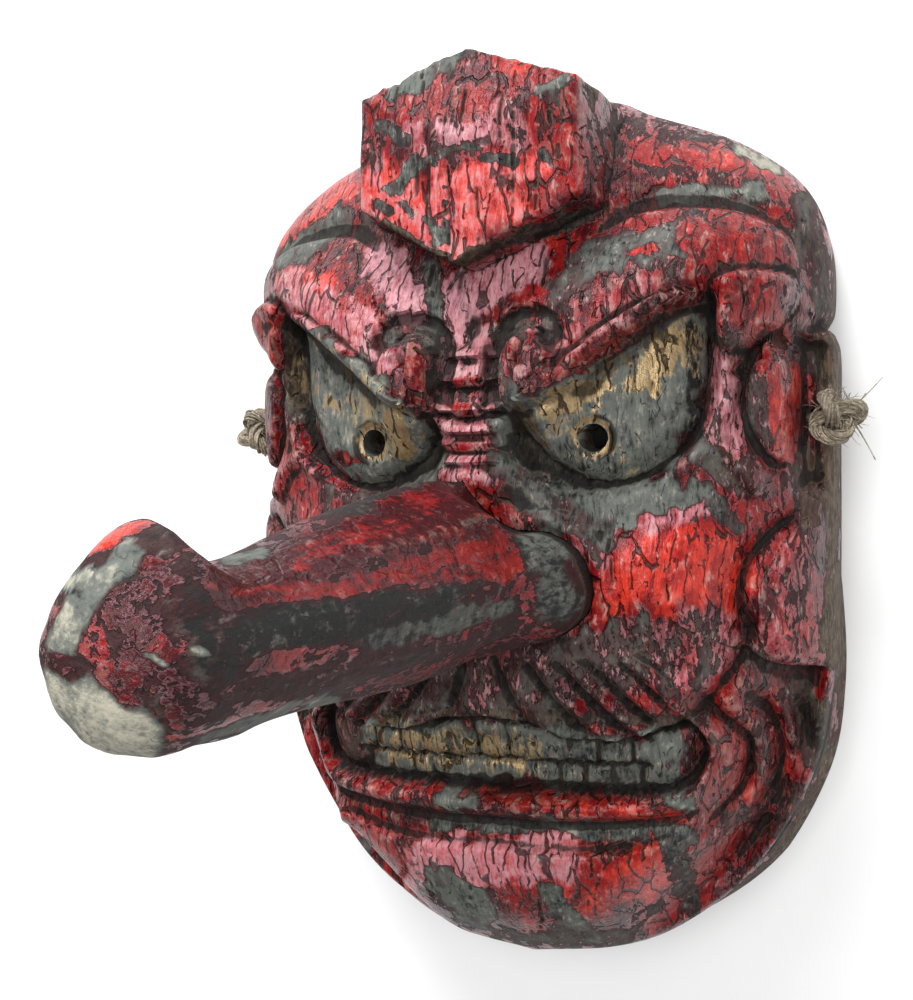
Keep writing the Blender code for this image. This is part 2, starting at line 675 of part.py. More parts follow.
def build_cord(material):
    points = cord_points()
    curve = bpy.data.curves.new("cord", "CURVE")
    curve.dimensions = "3D"
    curve.bevel_depth = CORD / 2
    curve.bevel_resolution = 2
    curve.use_fill_caps = True
    line = curve.splines.new("POLY")
    line.points.add(len(points) - 1)
    for point, place in zip(line.points, points):
        point.co = (*place, 1)
    curve.materials.append(material)
    cord = bpy.data.objects.new("cord", curve)
    bpy.context.collection.objects.link(cord)
    return cord


def main():
    for old in list(bpy.data.objects):
        bpy.data.objects.remove(old)
    lacquer = plain_material("red_lacquer", (0.36, 0.05, 0.045), 0.42)
    hemp = plain_material("hemp_cord", (0.33, 0.27, 0.19), 0.9)
    build_mask(lacquer)
    build_nose(lacquer)
    build_cord(hemp)
    build_knot("knot_right", 1, hemp)
    build_knot("knot_left", -1, hemp)


main()
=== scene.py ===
"""The looks of the carved tengu mask: fine carving, flaking lacquer, cord, knots, floor, light and camera.

Metres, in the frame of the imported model. The carving is laid out as in the solids, on one half of the face,
in 302nds of the mask's height.
"""

import math

import bmesh
import bpy
import numpy as np
from mathutils import Matrix, Vector


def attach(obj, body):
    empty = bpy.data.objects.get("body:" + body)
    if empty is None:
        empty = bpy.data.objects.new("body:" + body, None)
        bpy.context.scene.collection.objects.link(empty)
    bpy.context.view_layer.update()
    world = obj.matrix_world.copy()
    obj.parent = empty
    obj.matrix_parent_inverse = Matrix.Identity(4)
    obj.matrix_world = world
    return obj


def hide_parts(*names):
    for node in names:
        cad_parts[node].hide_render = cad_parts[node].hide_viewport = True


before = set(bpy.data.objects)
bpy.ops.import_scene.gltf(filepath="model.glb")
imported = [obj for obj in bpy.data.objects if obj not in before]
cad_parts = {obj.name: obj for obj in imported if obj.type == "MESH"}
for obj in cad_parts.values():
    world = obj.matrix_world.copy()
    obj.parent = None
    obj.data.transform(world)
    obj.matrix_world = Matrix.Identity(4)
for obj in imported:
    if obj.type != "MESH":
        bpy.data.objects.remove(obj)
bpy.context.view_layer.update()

# Sizes of the solids
HEIGHT = 0.302
WALL = 0.010
SHELL = 0.020
CORD_HOLE = 0.0066
CAP_RADIUS = 0.0326
CAP_TILT = math.radians(13.5)
CAP_RISE = 0.0072
CAP_SPREAD = 1.2
NOSE_LENGTH = 0.1970
NOSE_HALF = 0.0164
NOSE_HOOK = 0.0054
SEAT_GAP = 0.0004
CORD = 0.0045
KNOT = 0.0180
KNOT_GAP = 0.0028
CORD_GAP = 0.0003

# Sizes of the eyes, a little smaller than in the solids
EYE_BORE = 0.0084
EYE_RING = 0.0130

# Fineness of the meshes
SHELL_COLUMNS = 212
SHELL_ROWS = 296
SIDE_LEVELS = (0.85, 0.7, 0.55, 0.4, 0.25, 0.1, 0.0)  # of the outer wall, as shares of its height
HOLLOW_RINGS = 14
CAP_CUTS = 27
BORE_SIDES = 40
SEAT_SIDES = 48
NOSE_SIDES = 120
NOSE_LEVELS = 130
CURVE_STEPS = 9

# Depths of the fine carving and the splits
MOUSTACHE_EXTRA = 0.45  # deeper strands than in the solids, as a share
CAP_WAVES = 0.0016
CAP_GRAIN = 0.0007
SPLIT_DEPTH = 0.0011
NOSE_WAVES = 0.0010
NOSE_GRAIN = 0.0004

# Frayed knots
KNOT_STRANDS = 26
KNOT_FIBRES = 90
STRAND_REACH = 0.52  # of the cord's thickness, from the middle of the strands to the outer ones
FIBRE = 0.00016

# Flakes of the lacquer, in metres along X, Y and Z
MASK_FLAKES = (0.0045, 0.020, 0.017)
NOSE_FLAKES = (0.006, 0.006, 0.026)
NOSE_PATTERN = (0.4, 0.1, 0.2)  # shifts the nose's pattern, so that it differs from the mask's
SWAY = 0.006

# Where the paint changes, in metres
RIM_BAND = 0.0012  # bare wood at the foot of the wall
LOW_SIDE = (0.030, 0.012)  # the wall's lacquer thins out between these heights
CAP_FOOT = 0.1015  # height of the foot of the cap's paint in the middle of the cap
NOSE_ROOT_SHADE = (0.118, 0.104)  # the nose darkens towards its root between these heights: painted shade where it goes into the face

# Noise of the paint
LATTICE_SIZE = 64
LATTICE_SEED = 7
MASK_SHIFT = 11.0
CAP_SHIFT = 23.0
NOSE_SHIFT = 31.0
KNOT_SEEDS = {"right": 3, "left": 4}

UNIT = HEIGHT / 302  # one step of the carving's layout
MIDDLE = -18.0  # the layout's y of the middle of the face, at the origin
CAP_MIDDLE = 100.0  # the layout's y of the middle of the cap
NOSE_MIDDLE = -20.0  # the layout's y of the nose's axis
EDGE = 26.0  # height of the side wall, where the carving starts
HOLLOW_EDGE = 12.0  # height of the hollow's side, where its dome starts
HOLLOW_STEP = 0.5  # how far the dome starts inside that side
NOSE_LIP = 17.0  # from the tip back to the crest of its lip
SEAT_LEVEL = 95.0  # height of the pocket's floor under the nose
CAP_LEVEL = 113.8  # height of the middle of the cap's front
CAP_CORNERS = [(0, 1.0, 0), (1.03, 0.65, -0.09), (1.03, -0.39, -0.24), (0, -1.0, 0)]  # shares of its radius

# Half outlines, from the top round to the bottom
OUTLINE = [(0, 133), (30, 131), (44, 125), (71, 114), (90.5, 99.5), (99, 82), (100, 60), (97, 52),
           (101.5, 46), (101.5, 15), (101, -40), (99, -70), (92.5, -98), (74.5, -129), (52.5, -149.5),
           (32, -160), (0, -165.5)]
JAW_FLARE = [(-0.15, 0), (-0.5, 4), (-0.95, 9), (-1.25, 8), (-1.57, 3.5)]  # the rim's spread, by angle
NOSE_ROOT = [(0, 5), (5, -5), (13, -10), (22, -10.5), (30, -15), (34, -22), (35, -29), (32, -36),
             (22, -42), (0, -45)]

# Lines of the carving, named by what they follow
BROW = [(18, 32), (25, 44), (40, 56), (54, 65), (68, 71), (83, 71), (94, 62)]
CROWN_FURROW = [(32, 76), (47, 85), (64, 86), (80, 83), (91, 74), (95, 56)]
CURL_CHANNEL = [(8, 27), (8, 42), (13, 51), (22, 52), (26, 47)]
CURL_SLIT = [(22, 48), (19, 45), (17.5, 39)]
LID_LINE = [(20, 29), (27, 33), (38, 42), (52, 53), (63, 58)]
TEMPLE_BAND = [(72, 52), (72, 36), (71, 24), (66, 15)]
EAR_BAND = [(76, 38), (77, 20), (81, 2)]
EYE_BAG = [(58, 8), (66, 12), (73, 10), (80, 0)]
CHEEK_CREASE = [(93, -6), (84, -12), (76, -22), (74, -34), (76, -46), (66, -62), (58, -69)]
LOBE_FOOT = [(74, -48), (86, -56), (104, -61)]
LIP = [(0, -93.5), (22, -95), (42, -95), (57, -93), (66, -86), (68, -75), (64, -66)]
LIP_FURROW = [(0, -101), (24, -101), (48, -100), (64, -97), (72, -88)]
CHIN_STEP = [(0, -109), (28, -110.5), (48, -108), (64, -102), (74, -95)]
CHEEK_FOLDS = [
    ([(62, -62), (71, -73), (75, -82), (72, -95), (60, -106)], 4.5),
    ([(77, -64), (82, -77), (83, -90), (79, -104)], 4.0),
    ([(89, -70), (93, -84), (94, -97)], 3.0),
]

# Closed forms of the carving
SOCKET = [(11, 25), (8, 17), (11, 8), (21, 2), (35, -1), (50, 2), (61, 9), (67, 18), (70, 30), (71, 44),
          (70, 58), (62, 57), (52, 52), (38, 41), (27, 32)]
EYEBALL = [(14, 24), (18, 14), (26, 8), (35, 4), (46, 5), (56, 11), (62, 19), (65, 30), (66, 44), (66, 58),
           (53, 56), (38, 46), (25, 35)]
BROW_KNOB = [(10, 37), (12.5, 45), (19, 48), (25, 43), (27, 36), (24, 28), (17, 25), (11.5, 29)]
BROW_CURL = [(70, 62), (70, 44), (77, 42), (86, 49), (92, 58), (88, 65)]
CHEEK = [(37, -14), (37, -34), (48, -43), (62, -45), (72, -37), (74, -24), (68, -10), (54, -6)]
EAR_OVAL = [(81, 44), (77, 29), (80, 15), (86, 9), (89, 19), (89, 34), (86, 43)]
EAR_LOBE = [(92, -10), (82, -25), (78, -35), (80, -47), (88, -54), (104, -57), (104, -12)]
MOUTH = [(-12, -66.5), (3, -66.5), (16, -69), (30, -73), (42, -73), (53, -70), (61, -70), (65, -78),
         (62, -88), (55, -92), (40, -92.5), (20, -91.5), (-12, -90)]

# Wrinkles across the root of the nose: place, half length, depth
WRINKLES = [(40.5, 8, 1.8), (32.5, 10, 2.4), (24, 13, 3.0), (18, 10, 2.0), (13.5, 10, 2.0), (9, 9, 1.8)]

PUPIL = (35.0, 17.0)
EAR_HOLE = (95.0, 22.0)
EAR_SLANT = math.radians(56)  # of the hole through the ear, over the horizontal

# The route of the cord across the floor inside the mask, from the right ear to the left
CORD_ROUTE = [(0.0776, 0.0392, 0.0138), (0.0716, 0.0362, 0.0075), (0.0644, 0.0306, 0.0040),
              (0.0560, 0.0210, 0.0029), (0.0480, 0.0030, 0.0029), (0.0400, -0.0180, 0.0029),
              (0.0260, -0.0350, 0.0029), (0.0080, -0.0370, 0.0029), (-0.0070, -0.0240, 0.0029),
              (-0.0150, -0.0050, 0.0029), (-0.0230, 0.0180, 0.0029), (-0.0370, 0.0380, 0.0029),
              (-0.0540, 0.0466, 0.0029), (-0.0644, 0.0458, 0.0040), (-0.0718, 0.0432, 0.0076),
              (-0.0776, 0.0410, 0.0138)]


def ease(low, high, value):
    """A smooth step from 0 at low to 1 at high."""
    share = np.clip((value - low) / (high - low), 0, 1)
    return share * share * (3 - 2 * share)


def hump(distance, width):
    return np.exp(-((distance / width) ** 2))


def spline(points, closed=False):
    """A smooth curve through the points."""
    pts = np.array(points, float)
    count = len(pts)
    if closed:
        pts = np.vstack([pts[-1:], pts, pts[:2]])
        spans = count
    else:
        pts = np.vstack([2 * pts[0] - pts[1], pts, 2 * pts[-1] - pts[-2]])
        spans = count - 1
    steps = np.arange(CURVE_STEPS) / CURVE_STEPS
    out = []
    for k in range(spans):
        a, b, c, d = pts[k : k + 4]
        for t in steps:
            bend = (2 * a - 5 * b + 4 * c - d) * t**2 + (3 * b - a - 3 * c + d) * t**3
            out.append(0.5 * (2 * b + (c - a) * t + bend))
    out.append(out[0] if closed else pts[-2])
    return np.array(out)


def along(x, y, line):
    """Distance to a line, positive on its left, and the share of its length at the nearest point."""
    return nearest(x, y, spline(line))


def nearest(x, y, pts):
    """Distance to a chain of points and the share of its length at the nearest point."""
    steps = np.hypot(*np.diff(pts, axis=0).T)
    start = np.concatenate([[0], np.cumsum(steps)])
    best = np.full(np.shape(x), 1e9)
    side = np.zeros(np.shape(x))
    share = np.zeros(np.shape(x))
    for k, length in enumerate(steps):
        ax, ay = pts[k]
        ux, uy = (pts[k + 1] - pts[k]) / length
        t = np.clip((x - ax) * ux + (y - ay) * uy, 0, length)
        dx = x - ax - t * ux
        dy = y - ay - t * uy
        distance = np.hypot(dx, dy)
        closer = distance < best
        best = np.where(closer, distance, best)
        side = np.where(closer, ux * dy - uy * dx, side)
        share = np.where(closer, (start[k] + t) / start[-1], share)
    return np.where(side < 0, -best, best), share


def within(x, y, form):
    """Distance to a closed form's edge, positive inside it."""
    pts = spline(form, closed=True)
    distance = np.abs(nearest(x, y, pts)[0])
    inside = np.zeros(np.shape(x), bool)
    for (ax, ay), (bx, by) in zip(pts[:-1], pts[1:]):
        if ay == by:
            continue
        crosses = (ay > y) != (by > y)
        inside ^= crosses & (x < (bx - ax) * (y - ay) / (by - ay) + ax)
    return np.where(inside, distance, -distance)


def crown(depth, reach):
    """A round rise from 0 at a form's edge to 1 at the given distance inside it."""
    share = np.clip(depth / reach, 0, 1)
    return np.sqrt(1 - (1 - share) ** 2)


def outline_reach(angle):
    """Distance from the middle of the face to its outline, by the angle from +X on its half."""
    pts = spline(OUTLINE) - [0, MIDDLE]
    angles = np.arctan2(pts[:, 1], pts[:, 0])
    order = np.argsort(angles)
    return np.interp(angle, angles[order], np.hypot(*pts.T)[order])


def face_share(x, y):
    """How far out a place is, from 0 in the middle of the face to 1 on its outline."""
    return np.hypot(x, y - MIDDLE) / outline_reach(np.arctan2(y - MIDDLE, x))


def fall(share):
    """How a dome falls from 1 in the middle to 0 at its edge."""
    return (1 - np.clip(share, 0, 1) ** 2.4) ** 0.42


def dome_top(x, y):
    return 106 - 0.0012 * x * x - 12 * ease(-132, -168, y)


def brow(x, y):
    d, t = along(x, y, BROW)
    rise = (10 + 5 * np.sin(math.pi * np.clip(t * 1.3, 0, 1))) * (1 - 0.75 * ease(0.72, 1.0, t))
    z = rise * np.where(d > 0, hump(d, 15), np.exp(-((d / 12.5) ** 4)))
    d, t = along(x, y, CROWN_FURROW)
    z -= 6.0 * np.where(d > 0, hump(d, 6), hump(d, 1.2)) * ease(0.0, 0.25, t) * (1 - 0.5 * ease(0.75, 1, t))
    z += 11 * crown(within(x, y, BROW_CURL), 7)
    channel = np.abs(along(x, y, CURL_CHANNEL)[0])
    z -= 4.5 * ease(4.4, 2.6, channel)
    z += 8.0 * crown(within(x, y, BROW_KNOB), 6.5)
    z -= 5.0 * hump(along(x, y, CURL_SLIT)[0], 1.3)
    return z


def eye(x, y):
    lid = np.abs(along(x, y, LID_LINE)[0])
    depth = within(x, y, SOCKET)
    z = -12.5 * ease(-1, 3.4 + 3.6 * ease(3, 14, lid), depth)
    ball = within(x, y, EYEBALL)
    z += 12.5 * crown(ball, 11)
    z -= 1.8 * hump(lid, 1.7)
    ring = np.hypot(x - PUPIL[0], y - PUPIL[1]) * UNIT
    z -= 1.4 * (1 - ease(EYE_RING / 2 - 0.0006, EYE_RING / 2 + 0.0002, ring))
    z -= 1.2 * (1 - ease(EYE_BORE / 2, EYE_RING / 2, ring))
    z += 3.0 * hump(along(x, y, TEMPLE_BAND)[0], 2.6)
    z += 3.5 * hump(along(x, y, EYE_BAG)[0], 2.8)
    return z


def ear(x, y):
    z = 3.0 * hump(along(x, y, EAR_BAND)[0], 3.0)
    oval = within(x, y, EAR_OVAL)
    z += 5.0 * crown(oval, 6) - 5.5 * hump(oval + 1.6, 2.0)
    z -= 17.0 * ease(87.5, 92, x) * ease(-4, 4, y) * (1 - ease(44, 50, y))
    lobe = within(x, y, EAR_LOBE)
    z += 4.0 * crown(lobe, 9)
    d, t = along(x, y, LOBE_FOOT)
    z -= (5 + 7 * t) * np.where(d < 0, hump(d, 8), hump(d, 1.2))
    return z


def cheek(x, y):
    z = 9.0 * ease(-3, 15, within(x, y, CHEEK))
    z -= 20 * ease(56, 84, x) * ease(-48, -72, y) * (1 - 0.5 * ease(-118, -150, y))
    d, t = along(x, y, CHEEK_CREASE)
    z -= 7.5 * (0.6 * hump(d, 4.0) + 0.4 * hump(d, 1.6)) * ease(0.0, 0.12, t)
    for line, depth in CHEEK_FOLDS:
        d, t = along(x, y, line)
        z -= depth * (0.6 * hump(d, 2.6) + 0.6 * hump(d, 1.1)) * ease(0, 0.15, t) * (1 - ease(0.85, 1, t))
        z += 0.6 * depth * hump(np.abs(d) - 4.6, 2.6)
    return z


def bridge(x, y):
    z = 3.5 * hump(x, 10) * ease(0, 8, y) * (1 - ease(38, 52, y))
    z += 3.0 * hump(np.hypot(x / 26, (y - 60) / 20), 1.0)
    for place, half, depth in WRINKLES:
        low = y - place - 0.012 * x * x
        plate = hump(low - 1.8, 1.7) - 1.3 * np.where(low > 0, hump(low, 0.7), hump(low, 1.3))
        z += depth * plate * (1 - ease(half - 2, half + 1, x))
    rim = within(x, y, NOSE_ROOT + [(-x0, y0) for x0, y0 in NOSE_ROOT[-2:0:-1]])
    z += 3.0 * hump(rim + 3.5, 2.6) * ease(8, 18, x)
    z += 9.0 * hump(x, 8) * hump(y - 3, 8)
    return z


def moustache(x, y):
    zone = ease(-46, -52, y) * ease(-76, -71, y + 0.05 * np.clip(x - 20, 0, 40)) * (1 - ease(48, 58, x))
    lean = 1.05 * (1 - np.exp(-x / 26))
    strand = (x - lean * (-46 - y)) / 8.6 + 0.5
    saw = strand - np.floor(strand)
    fine = 0.8 * np.sin(2 * math.pi * saw) ** 2 * (strand > 1)
    return zone * (4.6 * np.sin(math.pi * saw) ** 0.8 - 2.4 - fine)


def mouth(x, y):
    depth = within(x, y, MOUTH)
    z = -12.0 * ease(-0.5, 1.6, depth)
    split = -82.0 - 0.03 * x
    row = np.where(y > split, (y - split) / 13.0, (split - y) / 10.0)
    arch = np.sqrt(np.clip(1 - (2 * np.clip(row, 0, 1) - 0.9) ** 2, 0, 1))
    inside = ease(1.0, 3.0, depth)
    corner = ease(45, 51, x)
    pitch = np.where(y > split, 9.4, 8.2)
    gap = np.abs(x / pitch + 0.5 - np.round(x / pitch + 0.5)) * pitch
    teeth = 2.2 + 1.2 * arch - 2.0 * hump(gap, 0.6) - 2.2 * hump(y - split, 0.7)
    z += inside * (teeth * (1 - corner) + corner * 6.5 * crown(depth - 1, 8))
    d, t = along(x, y, LIP)
    z += 5.0 * np.where(d > 0, np.exp(-((d / 3.2) ** 4)), hump(d, 4.5)) * (1 - ease(0.88, 1, t))
    z -= 3.4 * hump(along(x, y, LIP_FURROW)[0], 2.6)
    return z


def chin(x, y):
    d, t = along(x, y, CHIN_STEP)
    z = 3.6 * np.where(d < 0, hump(d, 16), hump(d, 1.0)) * (1 - ease(0.7, 1, t))
    z += 4.0 * hump(np.hypot(x / 42, (y + 132) / 22), 1.0)
    share = face_share(x, y)
    z -= 14 * ease(0.74, 0.93, share) * ease(-90, -125, y) * ease(20, 55, x)
    return z


def carving(x, y):
    """Height of the front of the face over its layout, with x >= 0."""
    share = face_share(x, y)
    z = EDGE + (dome_top(x, y) - EDGE) * fall(share)
    relief = brow(x, y) + eye(x, y) + ear(x, y) + cheek(x, y)
    relief += bridge(x, y) + moustache(x, y) + mouth(x, y) + chin(x, y)
    return z + relief * ease(1.0, 0.93, share)


def hollow(x, y, share):
    """Height of the smooth hollow behind the face."""
    return HOLLOW_EDGE + (dome_top(x, y) - SHELL / UNIT - HOLLOW_EDGE) * fall(share)


def hollow_height(x, y):
    """Height of the hollow over one place of the layout, or of its foot outside it."""
    angle = math.atan2(y - MIDDLE, abs(x))
    share = math.hypot(x, y - MIDDLE) / (float(outline_reach(angle)) - WALL / UNIT - HOLLOW_STEP)
    return float(hollow(x, y, share))


def square_to_disc(columns, rows):
    """Directions and reaches of a grid of points spread over a disc."""
    u, v = np.meshgrid(np.linspace(-1, 1, columns + 1), np.linspace(-1, 1, rows + 1), indexing="ij")
    x = u * np.sqrt(1 - v * v / 2)
    y = v * np.sqrt(1 - u * u / 2)
    radius = np.clip(np.hypot(x, y), 0, 1)
    angle = np.arctan2(y, x)
    spread = 0.5 * radius + 0.5 * np.sin(radius * math.pi / 2)
    return angle, spread


def grid_edge(columns, rows):
    """Grid places around the grid's edge, in order."""
    return (
        [(k, 0) for k in range(columns)]
        + [(columns, k) for k in range(rows)]
        + [(columns - k, rows) for k in range(columns)]
        + [(0, rows - k) for k in range(rows)]
    )


# The picture's camera: turned to the mask's left, a little below its middle, and rolled
CAMERA_TURN = math.radians(19.50)
CAMERA_LIFT = math.radians(2.65)
CAMERA_ROLL = math.radians(-1.28)
CAMERA_TARGET = Vector((-0.0148, 0.0160, 0.0800))
CAMERA_AWAY = 0.388
CAMERA_LENS = 43.2
SENSOR = 36.0
PICTURE = (913, 1000)


def camera_axes():
    """Right, up and back of the camera."""
    back = Vector((
        math.sin(CAMERA_TURN) * math.cos(CAMERA_LIFT),
        math.sin(CAMERA_LIFT),
        math.cos(CAMERA_TURN) * math.cos(CAMERA_LIFT),
    ))
    level = Vector((0, 1, 0)).cross(back).normalized()
    upright = back.cross(level)
    right = math.cos(CAMERA_ROLL) * level + math.sin(CAMERA_ROLL) * upright
    up = math.cos(CAMERA_ROLL) * upright - math.sin(CAMERA_ROLL) * level
    return right, up, back


def picture_place(points):
    """Where points of the mask show in the picture, in its pixels from the top left."""
    right, up, back = (np.array(a) for a in camera_axes())
    eye = np.array(CAMERA_TARGET) + back * CAMERA_AWAY
    away = points - eye
    depth = -away @ back
    scale = CAMERA_LENS / SENSOR * PICTURE[1]
    return PICTURE[0] / 2 + away @ right / depth * scale, PICTURE[1] / 2 - away @ up / depth * scale


LATTICE = np.random.default_rng(LATTICE_SEED).random((LATTICE_SIZE,) * 3)


def noise(points, size, shift=0.0):
    """Smooth noise from 0 to 1 at points in metres. size is that of its features, one or three numbers."""
    p = points / np.array(size) + shift
    base = np.floor(p).astype(int)
    f = p - base
    f = f * f * (3 - 2 * f)
    base %= LATTICE_SIZE
    after = (base + 1) % LATTICE_SIZE
    out = 0
    for i, wx in ((base[:, 0], 1 - f[:, 0]), (after[:, 0], f[:, 0])):
        for j, wy in ((base[:, 1], 1 - f[:, 1]), (after[:, 1], f[:, 1])):
            for k, wz in ((base[:, 2], 1 - f[:, 2]), (after[:, 2], f[:, 2])):
                out = out + wx * wy * wz * LATTICE[i, j, k]
    return out


def rough(points, size, shift=0.0):
    """Noise with finer noise on it, from about 0 to 1."""
    size = np.array(size)
    return (noise(points, size, shift) + 0.5 * noise(points, size / 2.1, shift + 5.3)
            + 0.25 * noise(points, size / 4.3, shift + 9.1)) / 1.75


def weathering(x, y, z):
    """Fine relief of the wood: cuts of the gouge, soft waves and splits along the grain, in layout steps."""
    p = np.column_stack([x, y, z]) * UNIT
    relief = 1.3 * (noise(p, (0.016, 0.022, 0.02), 1.7) - 0.5)
    relief += 0.7 * (noise(p, (0.006, 0.011, 0.01), 3.1) - 0.5)
    relief += 0.35 * (rough(p, (0.0022, 0.005, 0.005), 8.3) - 0.5)
    return relief


def shell_mesh(columns, rows):
    """The carved wall: front, side wall, flat rim and hollow, as one closed body."""
    angle, radius = square_to_disc(columns, rows)
    half_angle = np.arctan2(np.sin(angle), np.abs(np.cos(angle)))
    reach = outline_reach(half_angle)
    bends, spreads = np.array(JAW_FLARE[::-1]).T
    flare = np.interp(half_angle, bends, spreads)
    half = columns // 2
    verts = []
    faces = []

    def edge_ring(inset, z):
        first = len(verts)
        for i, j in grid_edge(columns, rows):
            r = reach[i, j] - inset[i, j]
            verts.append((r * math.cos(angle[i, j]), r * math.sin(angle[i, j]), z))
        return list(range(first, len(verts)))

    def band(upper, lower):
        count = len(upper)
        for k in range(count):
            n = (k + 1) % count
            faces.append((upper[k], lower[k], lower[n], upper[n]))

    x = radius * reach * np.cos(angle)
    y = radius * reach * np.sin(angle) + MIDDLE
    z = np.empty_like(x)
    z[half:] = carving(np.abs(x[half:]), y[half:])
    z[:half] = z[half + 1 :][::-1]
    share = face_share(np.abs(x), y)
    z += MOUSTACHE_EXTRA * moustache(np.abs(x), y)
    waves = weathering(x.ravel(), y.ravel(), z.ravel()).reshape(x.shape)
    to_pupil = np.hypot(np.abs(x) - PUPIL[0], y - PUPIL[1])
    z += waves * ease(1.0, 0.9, share) * (1 - 0.7 * ease(9, 7, to_pupil))
    verts.extend(zip(x.ravel(), (y - MIDDLE).ravel(), z.ravel()))
    for i in range(columns):
        for j in range(rows):
            a = i * (rows + 1) + j
            b, c, d = a + rows + 1, a + rows + 2, a + 1
            even = abs(verts[a][2] - verts[c][2]) < abs(verts[b][2] - verts[d][2])
            faces.extend(((a, b, c), (a, c, d)) if even else ((a, b, d), (b, c, d)))

    rim = WALL / UNIT
    loops = [[i * (rows + 1) + j for i, j in grid_edge(columns, rows)]]
    for level in SIDE_LEVELS:
        loops.append(edge_ring(-flare * (1 - level), EDGE * level))
    loops.append(edge_ring(rim - flare, 0.0))
    loops.append(edge_ring(rim - 0.5 * flare, HOLLOW_EDGE / 2))
    inner = reach - rim - HOLLOW_STEP
    for k in range(HOLLOW_RINGS):
        share = math.cos(math.pi / 2 * k / HOLLOW_RINGS) ** 0.8
        first = len(verts)
        for i, j in grid_edge(columns, rows):
            r = inner[i, j] * share
            hx, hy = r * math.cos(angle[i, j]), r * math.sin(angle[i, j])
            verts.append((hx, hy, float(hollow(abs(hx), hy + MIDDLE, share))))
        loops.append(list(range(first, len(verts))))
    for upper, lower in zip(loops[:-1], loops[1:]):
        band(upper, lower)
    verts.append((0.0, 0.0, float(hollow(0, MIDDLE, 0.0))))
    last = loops[-1]
    for k in range(len(last)):
        faces.append((last[k], len(verts) - 1, last[(k + 1) % len(last)]))
    return [tuple(UNIT * c for c in v) for v in verts], faces


def new_object(name, verts, faces):
    mesh = bpy.data.meshes.new(name)
    mesh.from_pydata(verts, [], faces)
    mesh.update()
    piece = bpy.data.objects.new(name, mesh)
    bpy.context.collection.objects.link(piece)
    return piece


def values_of(items, name, width, kind=float):
    out = np.empty(len(items) * width, kind)
    items.foreach_get(name, out)
    return out.reshape(-1, width)


def places(mesh):
    return values_of(mesh.vertices, "co", 3)


def normals(mesh):
    return values_of(mesh.vertices, "normal", 3)


def links(mesh):
    return values_of(mesh.edges, "vertices", 2, int)


def put_places(mesh, points):
    mesh.vertices.foreach_set("co", points.ravel())
    mesh.update()


def smoothed(values, edges, rounds):
    """Values at vertices, averaged over their neighbours again and again."""
    count = np.bincount(edges.ravel(), minlength=len(values))
    count = np.maximum(count, 1)
    for _ in range(rounds):
        total = np.bincount(edges[:, 0], values[edges[:, 1]], len(values))
        total += np.bincount(edges[:, 1], values[edges[:, 0]], len(values))
        values = 0.5 * values + 0.5 * total / count
    return values


def smoothed_places(mesh, rounds):
    points = places(mesh)
    edges = links(mesh)
    return np.column_stack([smoothed(points[:, k], edges, rounds) for k in range(3)])


def cavity(mesh, rounds):
    """How deep each vertex lies below the surface around it, in metres, negative on ridges."""
    return np.sum((smoothed_places(mesh, rounds) - places(mesh)) * normals(mesh), axis=1)


def cut(piece, guide, operation):
    step = piece.modifiers.new(guide.name, "BOOLEAN")
    step.operation = operation
    step.object = guide
    step.solver = "MANIFOLD"
    graph = bpy.context.evaluated_depsgraph_get()
    mesh = bpy.data.meshes.new_from_object(piece.evaluated_get(graph))
    piece.modifiers.clear()
    old = piece.data
    piece.data = mesh
    bpy.data.meshes.remove(old)
    bpy.data.objects.remove(guide)


def rod(name, start, end, radius):
    axis = Vector(end) - Vector(start)
    bm = bmesh.new()
    bmesh.ops.create_cone(
        bm, cap_ends=True, segments=BORE_SIDES, radius1=radius, radius2=radius, depth=axis.length
    )
    turn = axis.to_track_quat("Z", "Y").to_matrix().to_4x4()
    turn.translation = (Vector(start) + Vector(end)) / 2
    bm.transform(turn)
    mesh = bpy.data.meshes.new(name)
    bm.to_mesh(mesh)
    bm.free()
    piece = bpy.data.objects.new(name, mesh)
    bpy.context.collection.objects.link(piece)
    return piece


def prism(name, outline, low, high):
    count = len(outline)
    verts = [(x, y, z) for z in (low, high) for x, y in outline]
    faces = [tuple(range(count))[::-1], tuple(range(count, 2 * count))]
    for k in range(count):
        n = (k + 1) % count
        faces.append((k, n, count + n, count + k))
    return new_object(name, verts, faces)


def cap_mesh():
    """The six-sided cap: its front leans back by CAP_TILT, and its foot ends inside the wood of the head."""
    middle_y = (CAP_MIDDLE - MIDDLE) * UNIT
    lean = math.tan(CAP_TILT)
    peak_shift = 0.1
    corners = CAP_CORNERS + [(-x, y, z) for x, y, z in CAP_CORNERS[2:0:-1]]

    def foot(x, y):
        return (x, y, hollow_height(x / UNIT, y / UNIT + MIDDLE) * UNIT + SHELL / 2)

    top = []
    low = []
    inner = []
    for x, y, z in np.array(corners) * CAP_RADIUS:
        top.append((x, middle_y + y, CAP_LEVEL * UNIT + z - y * lean))
        low.append(foot(CAP_SPREAD * x, middle_y + y))
        inner.append(foot(CAP_SPREAD * x / 2, middle_y + y / 2))
    peak = (0.0, middle_y + peak_shift * CAP_RADIUS, CAP_LEVEL * UNIT + CAP_RISE)
    verts = top + low + inner + [peak, foot(0.0, middle_y)]
    faces = []
    for k in range(6):
        n = (k + 1) % 6
        faces.append((18, n, k))
        faces.append((k, n, n + 6, k + 6))
        faces.append((k + 6, n + 6, n + 12, k + 12))
        faces.append((k + 12, n + 12, 19))
    return verts, faces


